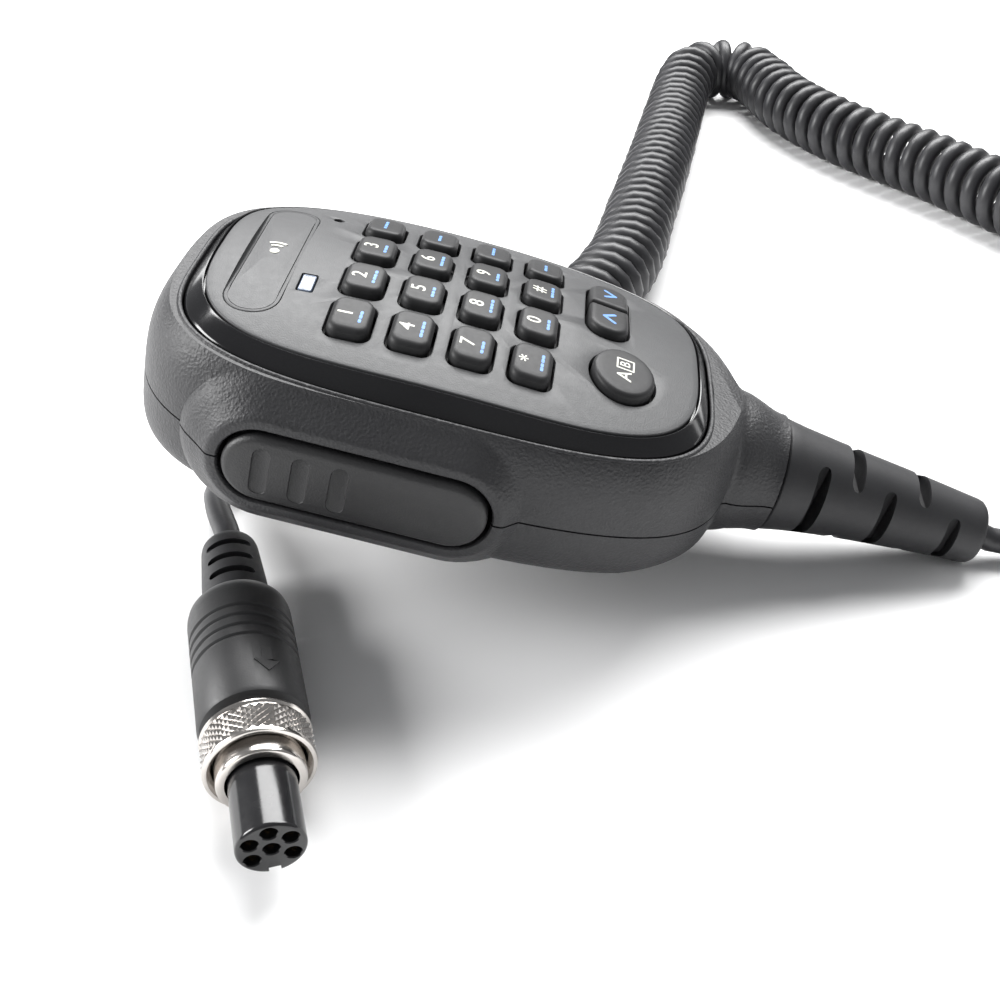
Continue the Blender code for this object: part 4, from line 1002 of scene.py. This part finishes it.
for j, (radius, z) in enumerate(nut_profile):
    row = []
    for i in range(steps):
        reach = radius
        if radius is None:
            peak = (i + j) % 2 and knurl_rows[0] < j < knurl_rows[-1]
            reach = NUT_RADIUS if peak else NUT_RADIUS - KNURL_DEEP
        angle = math.tau * i / steps
        row.append(shape.verts.new((reach * math.cos(angle), reach * math.sin(angle), z)))
    rows.append(row)
for number, (one, other) in enumerate(zip(rows, rows[1:] + rows[:1])):
    for i in range(steps):
        j = (i + 1) % steps
        corners = (one[i], one[j], other[j], other[i])
        if not knurl_rows[0] <= number < knurl_rows[-1]:
            shape.faces.new(corners)
        elif (i + number) % 2:
            shape.faces.new((corners[0], corners[1], corners[3]))
            shape.faces.new((corners[1], corners[2], corners[3]))
        else:
            shape.faces.new((corners[0], corners[1], corners[2]))
            shape.faces.new((corners[0], corners[2], corners[3]))
piece("knurled_nut", [(shape, NICKEL)], "collar_nut", ["coupling_nut"], place=plug_seat,
      corner=25)

# ------------------------------------------------------------------ the plug's tip
# A plated sleeve holds the insert, a glossy black moulding with a keyway and six holes.
# In each hole is a turned, gold-plated socket.
sleeve_profile = [(5.0, 51.3), (5.08, 51.4), (5.85, 51.4), (6.1, 51.3), (6.22, 51.1), (6.25, 50.8),
                  (6.25, 43.1), (5.0, 43.1)]
piece("plug_ring", [(lathed(sleeve_profile), NICKEL)], "case", ["plug_sleeve"],
      place=plug_seat)
insert_profile = [(0, 62.5), (4.2, 62.5), (4.45, 62.45), (4.62, 62.3), (4.69, 62.1), (4.7, 61.9),
                  (4.7, 42.9), (0, 42.9)]
hole_spots = [(0.0, 0.0)]
hole_spots += [(3.05 * math.cos(math.radians(60 * k - 90)), 3.05 * math.sin(math.radians(60 * k - 90)))
               for k in range(1, 6)]
cuts = []
for x, y in hole_spots:
    rings = [[(x + radius * math.cos(math.tau * i / 48), y + radius * math.sin(math.tau * i / 48), z)
              for i in range(48)] for radius, z in ((1.1, 55.5), (1.1, 62.35), (1.24, 62.51), (1.24, 64))]
    cuts.append((loft(rings), "DIFFERENCE"))
cuts.append((box((-0.8, -6.0, 53.5), (0.8, -3.6, 63.5)), "DIFFERENCE"))
INSERT_BLACK = coat("insert_gloss_black", (0.013, 0.013, 0.014), 0.16)
mottle(INSERT_BLACK, noise(INSERT_BLACK, 5.0), (0.011, 0.011, 0.012), (0.017, 0.017, 0.018))
roughen(INSERT_BLACK, noise(INSERT_BLACK, 0.8, 4.0), 0.10, 0.24)
piece("plug_core", [(lathed(insert_profile, 96), INSERT_BLACK)], "case", ["plug_insert"],
      place=plug_seat, cuts=cuts)
GOLD = coat("gold_plate", (0.85, 0.58, 0.24), 0.22, metallic=1.0)
mottle(GOLD, noise(GOLD, 1.0), (0.78, 0.52, 0.20), (0.90, 0.64, 0.30))
roughen(GOLD, noise(GOLD, 0.4), 0.16, 0.30)
contact_profile = [(0, 56.7), (0.42, 56.7), (0.42, 59.65), (0.5, 59.85), (0.66, 59.9), (0.76, 59.8),
                   (0.8, 59.6), (0.8, 55.8), (0, 55.8)]
for number, (x, y) in enumerate(hole_spots, 1):
    piece(f"socket_pin_{number}", [(lathed(contact_profile, 32), GOLD)], "case",
          [f"contact_{number}"], place=plug_seat @ Matrix.Translation((x, y, 0)))

on_the_cord = ["slotted_boot", "plug_shell", "knurled_nut", "plug_ring", "plug_core"]
on_the_cord += [f"socket_pin_{number}" for number in range(1, 7)]

# ------------------------------------------------------------------ the hanging button
# A turned, plated stud on the back.  Its groove drops into the slot of a wall bracket, and
# one screw from inside the case holds it.
button_seat = seat @ Matrix.Translation((-25.0, 0.0, -33.0))
button_profile = [(0, -0.3), (3.9, -0.3), (4.0, -0.4), (4.0, -3.1), (4.1, -3.2), (7.0, -3.35),
                  (7.35, -3.5), (7.5, -3.8), (7.5, -4.8), (7.35, -5.15), (7.0, -5.3), (0, -5.3)]
bore = loft([[(1.6 * math.cos(math.tau * i / 32), 1.6 * math.sin(math.tau * i / 32), z)
              for i in range(32)] for z in (-4.0, 1.0)])
piece("bracket_button", [(lathed(button_profile), NICKEL)], "case", ["hang_button"],
      place=button_seat, cuts=[(bore, "DIFFERENCE")])

# ------------------------------------------------------------------ screws and inner pieces
# Steel screws and springs, the green circuit board, the rubber membrane and the moulded
# blocks inside the case keep the shapes of their CAD, and each kind has its own finish.
STEEL = coat("zinc_plated_steel", (0.52, 0.52, 0.53), 0.34, metallic=1.0)
mottle(STEEL, noise(STEEL, 1.5, 4.0), (0.44, 0.44, 0.45), (0.58, 0.58, 0.59))
roughen(STEEL, noise(STEEL, 0.6, 4.0), 0.26, 0.44)
BOARD_GREEN = coat("green_solder_mask", (0.02, 0.12, 0.05), 0.35)
mottle(BOARD_GREEN, noise(BOARD_GREEN, 3.0, 4.0), (0.015, 0.09, 0.04), (0.03, 0.15, 0.06))
INNER_BLACK = coat("plain_black_moulding", (0.03, 0.03, 0.032), 0.5)
mottle(INNER_BLACK, noise(INNER_BLACK, 4.0), (0.026, 0.026, 0.028), (0.036, 0.036, 0.038))
INNER_COATS = {
    STEEL: ["case_screw_1", "case_screw_2", "case_screw_3", "case_screw_4", "button_screw", "ptt_pin",
            "ptt_spring", "mic_capsule"],
    BOARD_GREEN: ["circuit_board"],
    INNER_BLACK: ["ptt_switch", "ptt_plunger", "cord_clamp", "cord_socket"],
    RUBBER: ["keypad_membrane", "capsule_boot"],
    VINYL: ["cord_in_neck"],
    LENS: ["led_chip"],
}
for coating, names in INNER_COATS.items():
    for name in names:
        kept = frame["nodes"][name]
        kept.data.materials.clear()
        kept.data.materials.append(coating)
